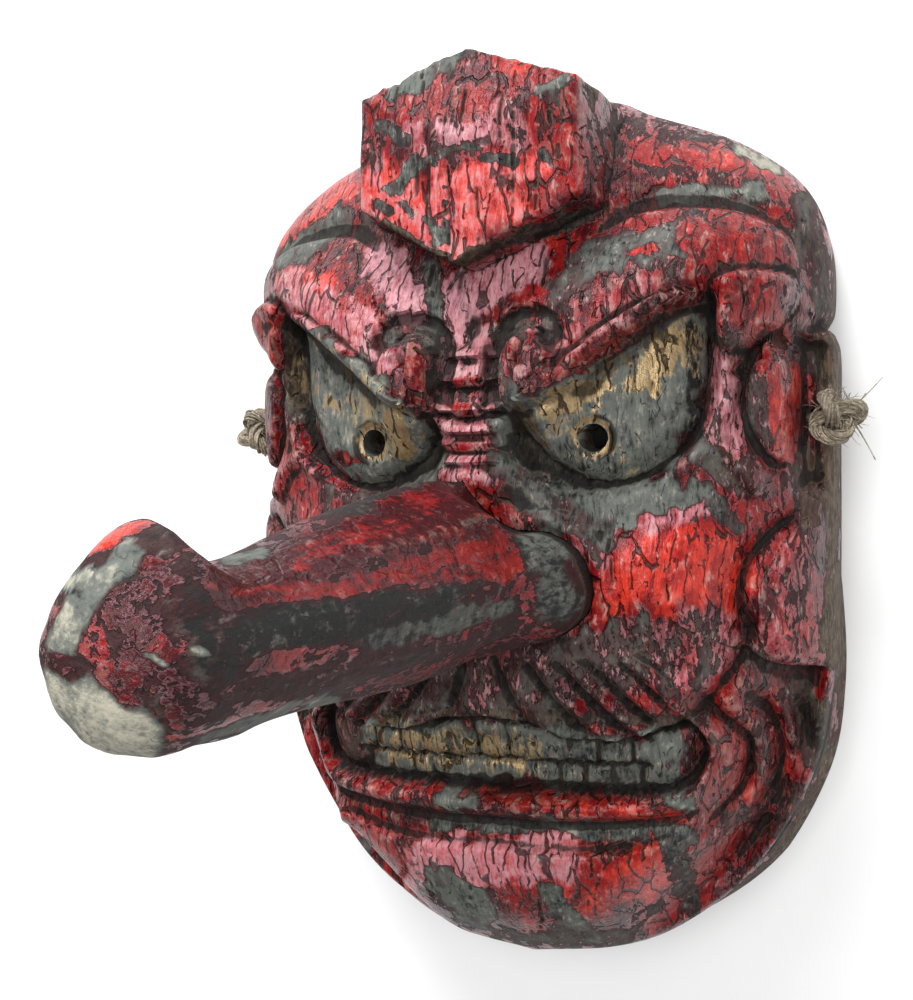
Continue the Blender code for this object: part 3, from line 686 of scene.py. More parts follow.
def build_cap():
    """The cap with worn, uneven faces and splits along the grain."""
    verts, faces = cap_mesh()
    cap = new_object("cap_form", verts, faces)
    bm = bmesh.new()
    bm.from_mesh(cap.data)
    bmesh.ops.subdivide_edges(bm, edges=bm.edges[:], cuts=CAP_CUTS, use_grid_fill=True)
    bmesh.ops.triangulate(bm, faces=[f for f in bm.faces if len(f.verts) > 4])
    bm.to_mesh(cap.data)
    bm.free()
    mesh = cap.data
    points = 0.25 * places(mesh) + 0.75 * smoothed_places(mesh, 3)
    put_places(mesh, points)
    relief = CAP_WAVES * (rough(points, (0.004, 0.022, 0.012), 2.2) - 0.5)
    relief += CAP_GRAIN * (noise(points, (0.0013, 0.010, 0.01), 6.1) - 0.5)
    relief -= SPLIT_DEPTH * splits(points, CAP_SPLITS)
    put_places(mesh, points + normals(mesh) * relief[:, None])
    return cap


def splits(points, lines):
    """How deep each point lies in one of the splits, from 0 to 1."""
    u, v = picture_place(points)
    deep = np.zeros(len(points))
    for x, top, foot, width in lines:
        sway = 3.0 * np.sin(v / 9.0 + x) + 1.5 * np.sin(v / 3.7 + 2 * x)
        within_run = ease(top - 4, top + 6, v) * ease(foot + 4, foot - 6, v)
        deep = np.maximum(deep, hump(u - x - sway * 0.5, width) * within_run)
    return deep


def seat_outline():
    """The nose's root grown by its clearance, anticlockwise, in metres."""
    angles = np.arange(SEAT_SIDES) * 2 * math.pi / SEAT_SIDES + math.pi / 2
    reach = nose_radius(angles, SEAT_LEVEL) * UNIT
    pts = np.column_stack([reach * np.cos(angles), reach * np.sin(angles) + UNIT * (NOSE_MIDDLE - MIDDLE)])
    ahead = np.roll(pts, -1, axis=0) - pts
    normal = np.column_stack([ahead[:, 1], -ahead[:, 0]])
    normal /= np.hypot(*normal.T)[:, None]
    outward = normal + np.roll(normal, 1, axis=0)
    outward /= np.hypot(*outward.T)[:, None]
    bend = np.sum(outward * normal, axis=1)
    return pts + outward * (SEAT_GAP / np.maximum(bend, 0.3))[:, None]


def nose_radius(angle, height):
    """Reach of the nose's side from its axis, by the angle from +X and the height over the rim."""
    root = spline(NOSE_ROOT) - [0, NOSE_MIDDLE]
    root_angles = np.arctan2(root[:, 1], root[:, 0])
    order = np.argsort(root_angles)
    half = np.arctan2(np.sin(angle), np.abs(np.cos(angle)))
    root_reach = np.interp(half, root_angles[order], np.hypot(*root.T)[order])
    facets = np.radians([62, 24, -14, -52, -90])
    reach = np.min([1 / np.maximum(np.cos(half - f), 0.2) for f in facets], axis=0)
    reach = np.minimum(reach, 1.13 - 0.11 * ease(150, 240, height))
    tip_level = SEAT_LEVEL + NOSE_LENGTH / UNIT
    taper = 1 + 0.42 * ease(tip_level - 30, 140, height)
    shaft = NOSE_HALF / UNIT * taper * reach
    flare = ease(108, 150, height)
    return root_reach * (1 - flare) + shaft * flare


def hook(past_lip):
    """Share of the hook's rise over the nose, by the distance past its lip towards the tip."""
    return np.where(past_lip > 0, hump(past_lip, 15.0), np.interp(past_lip, [-12, -3, 0], [0, 0.60, 1]))


def nose_rings():
    """Rings of the nose from its seat to its tip, as lists of points."""
    tip = SEAT_LEVEL + NOSE_LENGTH / UNIT
    half = NOSE_HALF / UNIT
    seat = SEAT_LEVEL + SEAT_GAP / UNIT
    levels = list(np.linspace(seat, tip - half, NOSE_LEVELS))
    levels += [tip - half * (1 - math.sin(math.radians(a))) for a in range(4, 88, 4)]
    angles = np.arange(NOSE_SIDES) * 2 * math.pi / NOSE_SIDES + math.pi / 2
    rings = []
    for level in levels:
        reach = nose_radius(angles, level)
        close = 1.0
        if level > tip - half:
            close = (1 - ((level - tip + half) / half) ** 2.5) ** (1 / 2.5)
        x = reach * close * np.cos(angles)
        y = NOSE_MIDDLE + 0.8 * ease(150, 250, level) + 2.0 * ease(258, 276, level)
        y = y + reach * close * np.sin(angles)
        lip = hook(level - (tip - NOSE_LIP))
        upper = np.clip(np.sin(angles), 0, 1)
        y = y - 1.8 * ease(205, 245, level) * ease(276, 262, level) * upper**2
        y = y + NOSE_HOOK / UNIT * lip * upper**6
        rings.append([(UNIT * a, UNIT * (b - MIDDLE), UNIT * level) for a, b in zip(x, y)])
    peak = (0.0, UNIT * (NOSE_MIDDLE + 2.8 - MIDDLE), UNIT * tip)
    return rings, peak


def ring_mesh(rings, peak):
    count = len(rings[0])
    verts = [p for ring in rings for p in ring] + [peak]
    faces = [tuple(range(count))[::-1]]
    for r in range(len(rings) - 1):
        for k in range(count):
            n = (k + 1) % count
            a = r * count
            faces.append((a + k, a + n, a + count + n, a + count + k))
    last = (len(rings) - 1) * count
    for k in range(count):
        faces.append((last + k, last + (k + 1) % count, len(verts) - 1))
    return verts, faces


def ear_axis(side):
    """Where the ear hole's axis meets the ear, and its outward direction, for side 1 or -1."""
    x, y = EAR_HOLE
    z = float(carving(np.array([x]), np.array([y]))[0])
    slant = Vector((side * math.cos(EAR_SLANT), 0, math.sin(EAR_SLANT)))
    return Vector((side * x, y - MIDDLE, z)) * UNIT, slant


# Splits along the grain, by their place in the picture: x, top, foot, half width
CAP_SPLITS = [(446, 168, 262, 1.6), (479, 178, 245, 1.2), (500, 95, 150, 1.2), (513, 110, 190, 1.3),
              (463, 85, 130, 1.2), (536, 175, 215, 1.2), (415, 165, 200, 1.1), (560, 120, 165, 1.3),
              (423, 62, 92, 1.3), (395, 75, 108, 1.1), (435, 110, 135, 1.0), (548, 110, 155, 1.0)]
FACE_SPLITS = [(432, 262, 322, 1.3), (460, 268, 300, 1.0), (500, 262, 330, 1.2), (545, 258, 292, 1.2),
               (742, 285, 342, 1.4), (470, 838, 905, 1.2), (505, 842, 880, 1.1), (540, 850, 930, 1.3),
               (590, 862, 915, 1.2), (610, 540, 640, 1.1), (668, 560, 640, 1.2), (690, 600, 650, 1.0),
               (402, 845, 900, 1.2), (650, 335, 408, 1.2), (664, 335, 405, 1.2), (680, 330, 400, 1.1),
               (320, 250, 290, 1.1), (300, 425, 470, 1.0), (735, 400, 470, 1.1), (430, 845, 900, 1.0)]


def build_mask():
    verts, faces = shell_mesh(SHELL_COLUMNS, SHELL_ROWS)
    mask = new_object("carved_mask", verts, faces)
    points = places(mask.data)
    front = points[:, 2] > EDGE * UNIT
    points[:, 2] -= np.where(front, SPLIT_DEPTH * splits(points, FACE_SPLITS), 0)
    put_places(mask.data, points)
    cut(mask, build_cap(), "UNION")
    cut(mask, prism("nose_pocket", seat_outline(), SEAT_LEVEL * UNIT, 150 * UNIT), "DIFFERENCE")
    for side, word in ((1, "right"), (-1, "left")):
        x, y = side * PUPIL[0] * UNIT, (PUPIL[1] - MIDDLE) * UNIT
        cut(mask, rod("eye_bore_" + word, (x, y, 0.05), (x, y, 0.13), EYE_BORE / 2), "DIFFERENCE")
        middle, slant = ear_axis(side)
        low, high = middle - slant * 0.03, middle + slant * 0.03
        cut(mask, rod("ear_bore_" + word, low, high, CORD_HOLE / 2), "DIFFERENCE")
    return mask


def build_nose():
    rings, peak = nose_rings()
    verts, faces = ring_mesh(rings, peak)
    nose = new_object("carved_nose", verts, faces)
    points = places(nose.data)
    relief = NOSE_WAVES * (noise(points, (0.009, 0.009, 0.026), 4.4) - 0.5)
    relief += NOSE_GRAIN * (rough(points, (0.003, 0.003, 0.012), 1.4) - 0.5)
    relief *= ease(0.112, 0.125, points[:, 2])
    put_places(nose.data, points + normals(nose.data) * relief[:, None])
    return nose


def stroke_share(u, v, start, end, radius):
    """How far places of the picture lie inside a broad stroke of the brush: 1 well inside, 0 outside."""
    ax, ay = start
    bx, by = end
    run = math.hypot(bx - ax, by - ay) or 1.0
    ux, uy = (bx - ax) / run, (by - ay) / run
    t = np.clip((u - ax) * ux + (v - ay) * uy, 0, run)
    return np.hypot(u - ax - t * ux, v - ay - t * uy) / radius


# Areas of colour by what they lie on, as round-ended strokes in the picture: start, end, radius, and what
# the coats are there. red is how much lacquer is left, tone its hue from maroon to orange, painted_sheen its
# painted pink sheen of the gloss, ground the undercoat from black to beige, wood the bare brown wood, gold
# the gilding, dust_and_shade the dust in it together with painted shade in its grooves and hollows.
CROWN_AREAS = [
    ((285, 235), (345, 185), 14, dict(red=0.85, tone=0.8)),
    ((290, 262), (345, 215), 13, dict(red=0.2, ground=0.4)),
    ((640, 135), (790, 205), 32, dict(red=0.5, ground=0.33, tone=0.3)),
    ((640, 150), (720, 160), 10, dict(red=0.95, tone=0.4)),
    ((720, 160), (805, 190), 12, dict(red=0.9, tone=0.5)),
    ((742, 152), (775, 166), 7, dict(red=0.0, ground=0.85)),
    ((665, 196), (755, 190), 8, dict(red=0.0, ground=0.5)),
    ((700, 213), (795, 218), 8, dict(red=0.75, tone=0.35)),
    ((805, 200), (828, 300), 14, dict(red=0.3, tone=0.2, ground=0.25, wood=0.3)),
]
FOREHEAD_AREAS = [
    # Painted highlights: the pale pink sheen across the middle of the forehead.
    ((385, 265), (425, 315), 20, dict(red=0.88, tone=0.35, painted_sheen=1.4)),
    ((462, 298), (530, 262), 22, dict(red=0.88, tone=0.35, painted_sheen=1.4)),
    ((440, 335), (490, 340), 13, dict(red=0.72, tone=0.4, painted_sheen=1.4)),
    ((430, 268), (438, 330), 7, dict(red=0.2, ground=0.3)),
    ((480, 250), (590, 215), 8, dict(red=0.3, ground=0.3, dust_and_shade=0.5)),
]
BROW_AREAS = [
    ((300, 300), (380, 350), 24, dict(red=0.9, tone=0.55, painted_sheen=0.7)),
    # Painted highlight: a pale pink sheen on the brow's crest.
    ((348, 300), (378, 330), 8, dict(red=0.9, tone=0.5, painted_sheen=0.75)),
    ((290, 280), (320, 285), 12, dict(red=0.9, tone=0.75)),
    ((398, 358), (416, 392), 14, dict(red=0.88, tone=0.3, dust_and_shade=-0.2)),
    ((262, 310), (272, 350), 14, dict(red=0.75, tone=0.5)),
    ((425, 330), (436, 385), 5, dict(red=0.35, ground=0.35, dust_and_shade=0.5)),
    ((497, 334), (522, 318), 7, dict(red=0.35, ground=0.5)),
    ((497, 345), (507, 398), 5, dict(red=0.4, ground=0.4, dust_and_shade=0.4)),
    ((516, 362), (545, 384), 13, dict(red=0.82, tone=0.3, painted_sheen=0.35, dust_and_shade=-0.1)),
    ((560, 350), (645, 285), 15, dict(red=0.85, tone=0.35, painted_sheen=0.45)),
    ((600, 335), (695, 292), 12, dict(red=0.85, tone=0.25)),
    ((560, 290), (600, 250), 14, dict(red=0.35, ground=0.35, painted_sheen=0.2)),
    ((600, 255), (690, 232), 18, dict(red=0.25, ground=0.36)),
    ((632, 252), (650, 246), 8, dict(red=1.0, tone=0.6)),
    ((690, 232), (765, 258), 14, dict(red=0.88, tone=0.38)),
    ((742, 300), (768, 330), 24, dict(red=0.9, tone=0.42)),
]
CURL_AREAS = [
    ((390, 338), (430, 336), 8, dict(red=0.4, tone=0.2, painted_sheen=0.4, ground=0.45, dust_and_shade=-0.5)),
    ((500, 338), (545, 324), 8, dict(red=0.4, tone=0.2, painted_sheen=0.4, ground=0.45, dust_and_shade=-0.5)),
]
ROOT_AREAS = [
    # Painted highlights: lavender-pink sheen on the wrinkles across the nose's root.
    ((448, 362), (492, 356), 14, dict(red=0.7, tone=0.25, ground=0.45, painted_sheen=0.7)),
    ((448, 425), (500, 430), 18, dict(red=0.72, tone=0.3, painted_sheen=0.7, ground=0.45)),
    ((452, 465), (500, 468), 14, dict(red=0.75, tone=0.25, painted_sheen=0.7)),
    ((440, 395), (500, 395), 10, dict(red=0.6, ground=0.4, painted_sheen=0.5)),
    ((515, 440), (525, 500), 9, dict(red=0.25, ground=0.25, dust_and_shade=0.4)),
]
EYE_AREAS = [
    ((545, 440), (680, 385), 46, dict(red=-0.35, ground=0.45, dust_and_shade=-0.2)),
    ((325, 385), (400, 455), 36, dict(red=-0.35, ground=0.5, dust_and_shade=-0.2)),
    ((525, 420), (545, 470), 14, dict(red=0.0, wood=0.6, ground=0.3, dust_and_shade=0.4)),
    ((560, 410), (690, 345), 28, dict(red=-0.2, ground=0.62, gold=0.45, dust_and_shade=-0.5)),
    ((640, 385), (672, 345), 14, dict(red=-0.2, ground=0.5, gold=0.78, dust_and_shade=-0.4)),
    ((552, 408), (600, 388), 9, dict(red=-0.2, ground=0.6, gold=0.7, dust_and_shade=-0.4)),
    ((606, 402), (628, 402), 9, dict(red=-0.2, ground=0.42, gold=0.1, dust_and_shade=-0.2)),
    ((692, 330), (698, 430), 8, dict(red=-0.1, ground=0.15)),
    ((530, 385), (612, 345), 9, dict(red=0.75, tone=0.25, ground=0.2, painted_sheen=0.1)),
    ((612, 345), (680, 300), 9, dict(red=0.75, tone=0.25, ground=0.2)),
    ((560, 470), (660, 455), 20, dict(red=-0.2, ground=0.40, gold=0.32, dust_and_shade=-0.3)),
    ((315, 365), (395, 440), 30, dict(red=-0.2, ground=0.66, gold=0.42, dust_and_shade=-0.4)),
    ((308, 350), (345, 390), 8, dict(red=-0.2, ground=0.4, gold=0.2, dust_and_shade=-0.2)),
    ((395, 415), (405, 450), 10, dict(red=-0.2, ground=0.6, gold=0.75, dust_and_shade=-0.4)),
    ((340, 474), (425, 478), 12, dict(red=0.0, ground=0.55, gold=0.1, dust_and_shade=-0.2)),
    ((290, 330), (300, 420), 12, dict(red=0.2, ground=0.3, wood=0.5)),
    # Painted highlight: lavender-pink sheen on the socket's outer band, right of the eye.
    ((708, 300), (716, 430), 9, dict(red=0.35, tone=0.3, painted_sheen=0.6, ground=0.5, dust_and_shade=-0.2)),
    ((712, 398), (715, 442), 8, dict(red=0.7, tone=0.4, painted_sheen=0.5)),
    ((733, 390), (738, 500), 13, dict(red=0.5, tone=0.25, wood=0.3, ground=0.25)),
    ((560, 508), (690, 500), 24, dict(red=0.0, ground=0.45, dust_and_shade=-0.1)),
    ((520, 480), (600, 540), 16, dict(red=0.2, ground=0.3, painted_sheen=0.2)),
    ((648, 524), (705, 508), 9, dict(red=0.75, tone=0.35, painted_sheen=0.75)),
    ((575, 545), (600, 560), 10, dict(red=0.5, tone=0.3, painted_sheen=0.5)),
    # Painted highlights: pink sheen beside the eye, and a lavender-grey sheen with pale ground on the bag
    # under it.
    ((722, 360), (733, 440), 12, dict(red=0.74, tone=0.3, painted_sheen=0.8, dust_and_shade=-0.3)),
    ((700, 455), (738, 486), 11, dict(red=0.35, tone=0.2, painted_sheen=0.7, ground=0.55, dust_and_shade=-0.3)),
]
CHEEK_AREAS = [
    ((652, 598), (712, 572), 52, dict(red=0.95, tone=0.68, dust_and_shade=-0.2)),
    ((640, 630), (700, 640), 22, dict(red=0.9, tone=0.6)),
    ((715, 505), (738, 530), 9, dict(red=0.2, ground=0.3)),
    ((285, 480), (330, 500), 30, dict(red=0.65, tone=0.45, painted_sheen=0.3)),
    ((340, 505), (400, 500), 20, dict(red=0.5, tone=0.3, painted_sheen=0.3)),
    ((285, 440), (295, 430), 18, dict(red=0.6, tone=0.3)),
]
DUST_AREAS = [
    ((716, 338), (760, 346), 7, dict(dust_and_shade=0.42)),
    ((730, 640), (800, 685), 10, dict(dust_and_shade=0.36)),
    ((805, 690), (822, 720), 9, dict(dust_and_shade=0.36)),
    ((268, 330), (276, 352), 7, dict(dust_and_shade=0.40)),
    ((690, 700), (722, 742), 9, dict(dust_and_shade=0.30)),
]
EAR_AREAS = [
    ((785, 385), (785, 440), 20, dict(red=0.8, tone=0.55)),
    ((757, 380), (765, 455), 7, dict(red=0.55, tone=0.2, painted_sheen=0.35, ground=0.4)),
    ((757, 480), (765, 545), 16, dict(red=0.5, tone=0.12, wood=0.4, ground=0.25)),
    ((795, 560), (790, 640), 28, dict(red=0.6, tone=0.35, painted_sheen=0.4, ground=0.3)),
    ((800, 625), (812, 650), 10, dict(red=0.9, tone=0.5)),
    ((828, 340), (834, 660), 9, dict(red=0.12, wood=0.75, ground=0.2, dust_and_shade=0.3)),
    ((810, 460), (815, 520), 12, dict(red=0.3, wood=0.5, ground=0.25)),
]
MOUSTACHE_AREAS = [
    # Painted highlights: pale pink sheen along the moustache's strands.
    ((430, 700), (700, 640), 34, dict(red=0.47, ground=0.58, painted_sheen=0.5, tone=0.16, dust_and_shade=-0.3)),
    ((520, 660), (560, 640), 14, dict(red=0.4, ground=0.25, painted_sheen=0.35)),
    ((390, 690), (450, 690), 12, dict(red=0.5, ground=0.3, painted_sheen=0.4)),
    ((660, 690), (690, 650), 14, dict(red=0.5, tone=0.4, ground=0.25)),
]
MOUTH_AREAS = [
    ((385, 742), (640, 765), 26, dict(red=-0.2, ground=0.5, gold=0.42, dust_and_shade=-0.35)),
    ((400, 745), (575, 756), 14, dict(red=-0.2, ground=0.45, gold=0.52, dust_and_shade=-0.35)),
    ((560, 752), (640, 765), 20, dict(red=-0.2, ground=0.30, gold=0.25, dust_and_shade=0.1)),
    ((662, 745), (684, 775), 22, dict(red=-0.1, ground=0.46, gold=0.05, dust_and_shade=-0.1)),
    ((345, 730), (362, 760), 14, dict(red=0.6, tone=0.2, dust_and_shade=0.4)),
    ((380, 712), (690, 722), 6, dict(red=0.3, ground=0.2, wood=0.4)),
    ((420, 788), (682, 818), 7, dict(red=1.0, tone=0.6, dust_and_shade=-0.4)),
    ((345, 775), (440, 800), 9, dict(red=0.75, tone=0.4, painted_sheen=0.2)),
    ((438, 800), (470, 802), 7, dict(red=0.1, ground=0.5)),
    ((672, 800), (692, 806), 7, dict(red=0.1, ground=0.55)),
    ((440, 824), (690, 836), 10, dict(red=0.1, ground=0.28, dust_and_shade=-0.2)),
    ((560, 835), (572, 833), 8, dict(red=0.0, ground=0.85)),
]
JAW_AREAS = [
    # Painted highlight: pink sheen on the chin's bright red.
    ((410, 862), (560, 856), 24, dict(red=0.98, tone=0.8, painted_sheen=1.0, dust_and_shade=-0.2)),
    ((575, 885), (645, 870), 28, dict(red=0.95, tone=0.6)),
    ((440, 880), (482, 915), 14, dict(red=0.1, ground=0.42)),
    ((548, 890), (575, 935), 11, dict(red=0.15, ground=0.4)),
    ((672, 845), (690, 905), 12, dict(red=0.3, ground=0.2)),
    ((500, 935), (620, 940), 10, dict(red=0.3, ground=0.35)),
    ((330, 780), (390, 860), 22, dict(red=0.7, tone=0.45, painted_sheen=0.25)),
    ((325, 820), (365, 850), 7, dict(red=0.2, ground=0.35)),
    ((715, 765), (790, 830), 36, dict(red=0.62, tone=0.2, ground=0.32, painted_sheen=0.15, dust_and_shade=0.22)),
    ((720, 690), (750, 790), 12, dict(red=0.75, tone=0.4, ground=0.25)),
    ((770, 700), (785, 780), 8, dict(red=0.75, tone=0.4)),
    ((800, 690), (825, 760), 16, dict(red=0.35, tone=0.15, ground=0.25, wood=0.3)),
]
FACE_AREAS = (
    CROWN_AREAS + FOREHEAD_AREAS + BROW_AREAS + CURL_AREAS + ROOT_AREAS + EYE_AREAS + CHEEK_AREAS
    + DUST_AREAS + EAR_AREAS + MOUSTACHE_AREAS + MOUTH_AREAS + JAW_AREAS
)
CAP_AREAS = [
    ((380, 190), (440, 235), 34, dict(red=0.92, tone=0.95, painted_sheen=0.6)),
    ((460, 190), (560, 190), 36, dict(red=0.92, tone=0.85, painted_sheen=0.55)),
    ((530, 195), (575, 185), 14, dict(red=0.75, tone=0.5, painted_sheen=0.2)),
    ((390, 188), (404, 176), 8, dict(red=0.1, ground=0.30)),
    ((408, 170), (428, 157), 9, dict(red=0.1, ground=0.26)),
    ((378, 204), (392, 212), 5, dict(red=0.2, ground=0.30)),
    ((446, 226), (452, 252), 5, dict(red=0.2, ground=0.20)),
    ((445, 186), (449, 202), 3, dict(red=0.2, ground=0.22)),
    ((427, 220), (437, 240), 7, dict(red=0.1, ground=0.34)),
    ((404, 206), (412, 214), 4, dict(red=0.2, ground=0.25)),
    ((436, 151), (474, 143), 9, dict(red=0.2, ground=0.24)),
    ((484, 158), (512, 161), 5, dict(red=0.2, ground=0.24)),
    ((546, 156), (572, 168), 7, dict(red=0.15, ground=0.32)),
    # Painted highlights: pale pink sheen near the cap's peak.
    ((450, 132), (500, 128), 15, dict(red=0.7, tone=0.4, painted_sheen=0.85)),
    ((412, 130), (426, 150), 9, dict(red=0.75, tone=0.4, painted_sheen=0.7)),
    ((396, 96), (430, 74), 11, dict(red=0.05, ground=0.42)),
    ((438, 66), (456, 60), 8, dict(red=0.1, ground=0.34)),
    ((375, 112), (440, 108), 12, dict(red=0.8, tone=0.35)),
    ((368, 125), (374, 165), 9, dict(red=0.5, tone=0.2, wood=0.3, ground=0.25)),
    ((384, 128), (402, 140), 6, dict(red=0.2, ground=0.30)),
    ((470, 70), (482, 112), 12, dict(red=0.85, tone=0.3)),
    ((500, 62), (572, 72), 8, dict(red=0.95, tone=0.6)),
    ((520, 85), (556, 76), 8, dict(red=0.9, tone=0.35)),
    ((538, 92), (568, 78), 4, dict(red=0.1, ground=0.34)),
    ((500, 110), (520, 140), 10, dict(red=0.75, tone=0.4, painted_sheen=0.6)),
    ((545, 110), (570, 160), 15, dict(red=0.78, tone=0.4, painted_sheen=0.15)),
    ((600, 90), (612, 190), 15, dict(red=0.08, wood=0.85, ground=0.3, dust_and_shade=0.3)),
    # Under the cap's lower edges: bare wood darkened by dust and painted shade.
    ((462, 264), (604, 194), 5, dict(red=0.1, wood=0.8, dust_and_shade=0.5)),
    ((385, 224), (452, 264), 4, dict(red=0.1, wood=0.6, dust_and_shade=0.4)),
]
NOSE_AREAS = [
    ((225, 590), (470, 500), 22, dict(red=1.0, tone=0.0)),
    # Painted highlight: a brighter red line along the nose's top ridge.
    ((300, 560), (430, 510), 8, dict(red=1.0, tone=0.26)),
    ((225, 562), (262, 552), 6, dict(red=0.1, ground=0.45)),
    ((250, 612), (500, 545), 8, dict(red=0.75, tone=0.42)),
    ((420, 580), (550, 570), 14, dict(red=0.66, tone=0.35)),
    # Painted shade: a dark band under the red facet's lower edge; then a painted highlight, a brighter red
    # line along that edge.
    ((236, 618), (500, 590), 8, dict(red=0.35, tone=0.0, ground=0.0)),
    ((225, 595), (495, 572), 4, dict(red=1.0, tone=0.3)),
    ((240, 640), (440, 606), 18, dict(red=0.14, ground=0.0)),
    ((380, 640), (510, 606), 8, dict(red=0.15, ground=0.30)),
    ((250, 690), (540, 640), 12, dict(red=0.42, tone=0.0, ground=0.14)),
    ((200, 738), (330, 702), 7, dict(red=0.1, ground=0.5)),
    ((540, 545), (560, 600), 20, dict(red=0.1, ground=0.3)),
    ((60, 705), (135, 738), 30, dict(red=0.0, ground=0.85)),
    ((62, 640), (80, 600), 16, dict(red=0.0, ground=0.65)),
    ((85, 600), (130, 555), 16, dict(red=0.0, ground=0.5)),
    ((68, 585), (90, 570), 8, dict(red=0.0, ground=0.9)),
    ((95, 640), (110, 660), 14, dict(red=0.45, tone=0.2, ground=0.55)),
    ((125, 610), (185, 700), 30, dict(red=0.64, tone=-0.1, ground=0.15)),
    ((90, 545), (112, 535), 9, dict(red=0.95, tone=0.85)),
    ((125, 528), (148, 526), 6, dict(red=0.9, tone=0.75)),
    ((150, 540), (180, 560), 14, dict(red=0.35, tone=0.1, ground=0.2)),
    ((195, 600), (225, 660), 18, dict(red=0.3, tone=0.0, ground=0.05)),
    ((150, 655), (165, 665), 7, dict(red=0.0, ground=0.75)),
    ((198, 650), (210, 655), 6, dict(red=0.0, ground=0.8)),
]

# The coats where no area lies, and inside the mask
FACE_BASE = dict(red=0.70, tone=0.18, painted_sheen=0.10, ground=0.30, wood=0.1, gold=0.0, dust_and_shade=0.08)
NOSE_BASE = dict(red=0.50, tone=0.10, painted_sheen=0.0, ground=0.10, wood=0.0, gold=0.0, dust_and_shade=0.05)
INSIDE = dict(red=0.0, tone=0.2, painted_sheen=0.0, ground=0.2, wood=0.9, gold=0.0, dust_and_shade=0.35)


def paint(piece, base, areas, seed, broken=0.55):
    """The coats at the piece's vertices, from base and areas. broken is how patchy the lacquer is."""
    points = places(piece.data)
    u, v = picture_place(points)
    ragged = rough(points, 0.006, seed) - 0.5
    streaks = noise(points, (0.0025, 0.022, 0.02), seed + 3) - 0.5
    coats = {name: np.full(len(points), float(value)) for name, value in base.items()}
    coats["red"] += 0.9 * (rough(points, (0.014, 0.022, 0.02), seed + 1) - 0.5)
    coats["tone"] += 0.6 * (noise(points, 0.018, seed + 2) - 0.5)
    coats["ground"] += 0.35 * (noise(points, 0.012, seed + 6) - 0.5)
    for start, end, radius, here in areas:
        share = stroke_share(u, v, start, end, radius)
        share += (0.8 + 9 / radius) * ragged + (0.4 + 7 / radius) * streaks
        weight = ease(1.3, 0.75, share)
        for name, value in here.items():
            coats[name] += weight * (value - coats[name])
        if "red" in here and "wood" not in here:
            coats["wood"] *= 1 - weight
    # Painted shade round the eye's ring: a dark line along its step and darkening inside it towards the bore;
    # gold leaf just inside the step.
    around = np.hypot(np.abs(points[:, 0]) / UNIT - PUPIL[0], points[:, 1] / UNIT + MIDDLE - PUPIL[1])
    ring = EYE_RING / 2 / UNIT
    coats["dust_and_shade"] += 1.0 * hump(around - ring - 0.2, 0.9) + 0.7 * ease(ring - 2.4, ring - 3.0, around)
    coats["gold"] = np.maximum(coats["gold"], 0.8 * hump(around - ring + 1.4, 1.0))
    patchy = rough(points, (0.004, 0.012, 0.010), seed + 8) - 0.5
    coats["red"] += broken * patchy
    coats["tone"] += 0.5 * (rough(points, (0.005, 0.010, 0.010), seed + 9) - 0.5)
    coats["ground"] += 0.4 * (rough(points, (0.004, 0.008, 0.008), seed + 10) - 0.5)
    return coats


COAT_SETS = {
    "lacquer": ("red", "tone", "painted_sheen"),
    "under": ("ground", "wood", "gold"),
    "wear_and_shade": ("dust_and_shade", "edge", "inside"),
}


def write_coats(mesh, coats):
    """Keeps the coats as colours of the vertices, three to a set."""
    for name, members in COAT_SETS.items():
        layer = mesh.color_attributes.new(name, "FLOAT_COLOR", "POINT")
        values = np.ones((len(mesh.vertices), 4))
        for k, member in enumerate(members):
            values[:, k] = np.clip(coats[member], 0, 1)
        layer.data.foreach_set("color", values.ravel())


def add_wear_and_shade(piece, coats, hidden=None):
    """Dust and painted shade in the hollows, lacquer worn off the ridges with a little painted sheen on them,
    and bare wood inside.
    """
    mesh = piece.data
    deep = cavity(mesh, 8)
    wide = cavity(mesh, 60)
    # The darkening in the hollows is dust together with painted shade: the deeper and narrower the hollow,
    # the darker.
    hollow_dust_and_shade = ease(0.0004, 0.0016, wide) * 0.4 + ease(0.00008, 0.0003, deep) * 0.7
    coats["dust_and_shade"] = np.clip(coats["dust_and_shade"] + hollow_dust_and_shade, 0, 1)
    coats["edge"] = ease(0.00006, 0.0004, -deep)
    coats["red"] = coats["red"] - 0.06 * coats["edge"] - 0.2 * coats["dust_and_shade"]
    # Painted highlight: the ridges get a little painted sheen.
    coats["painted_sheen"] = coats["painted_sheen"] + 0.15 * coats["edge"]
    coats["inside"] = np.zeros(len(mesh.vertices))
    if hidden is not None:
        for name, value in INSIDE.items():
            coats[name] = np.where(hidden, value, coats[name])
        coats["inside"] = hidden.astype(float)
    write_coats(mesh, coats)


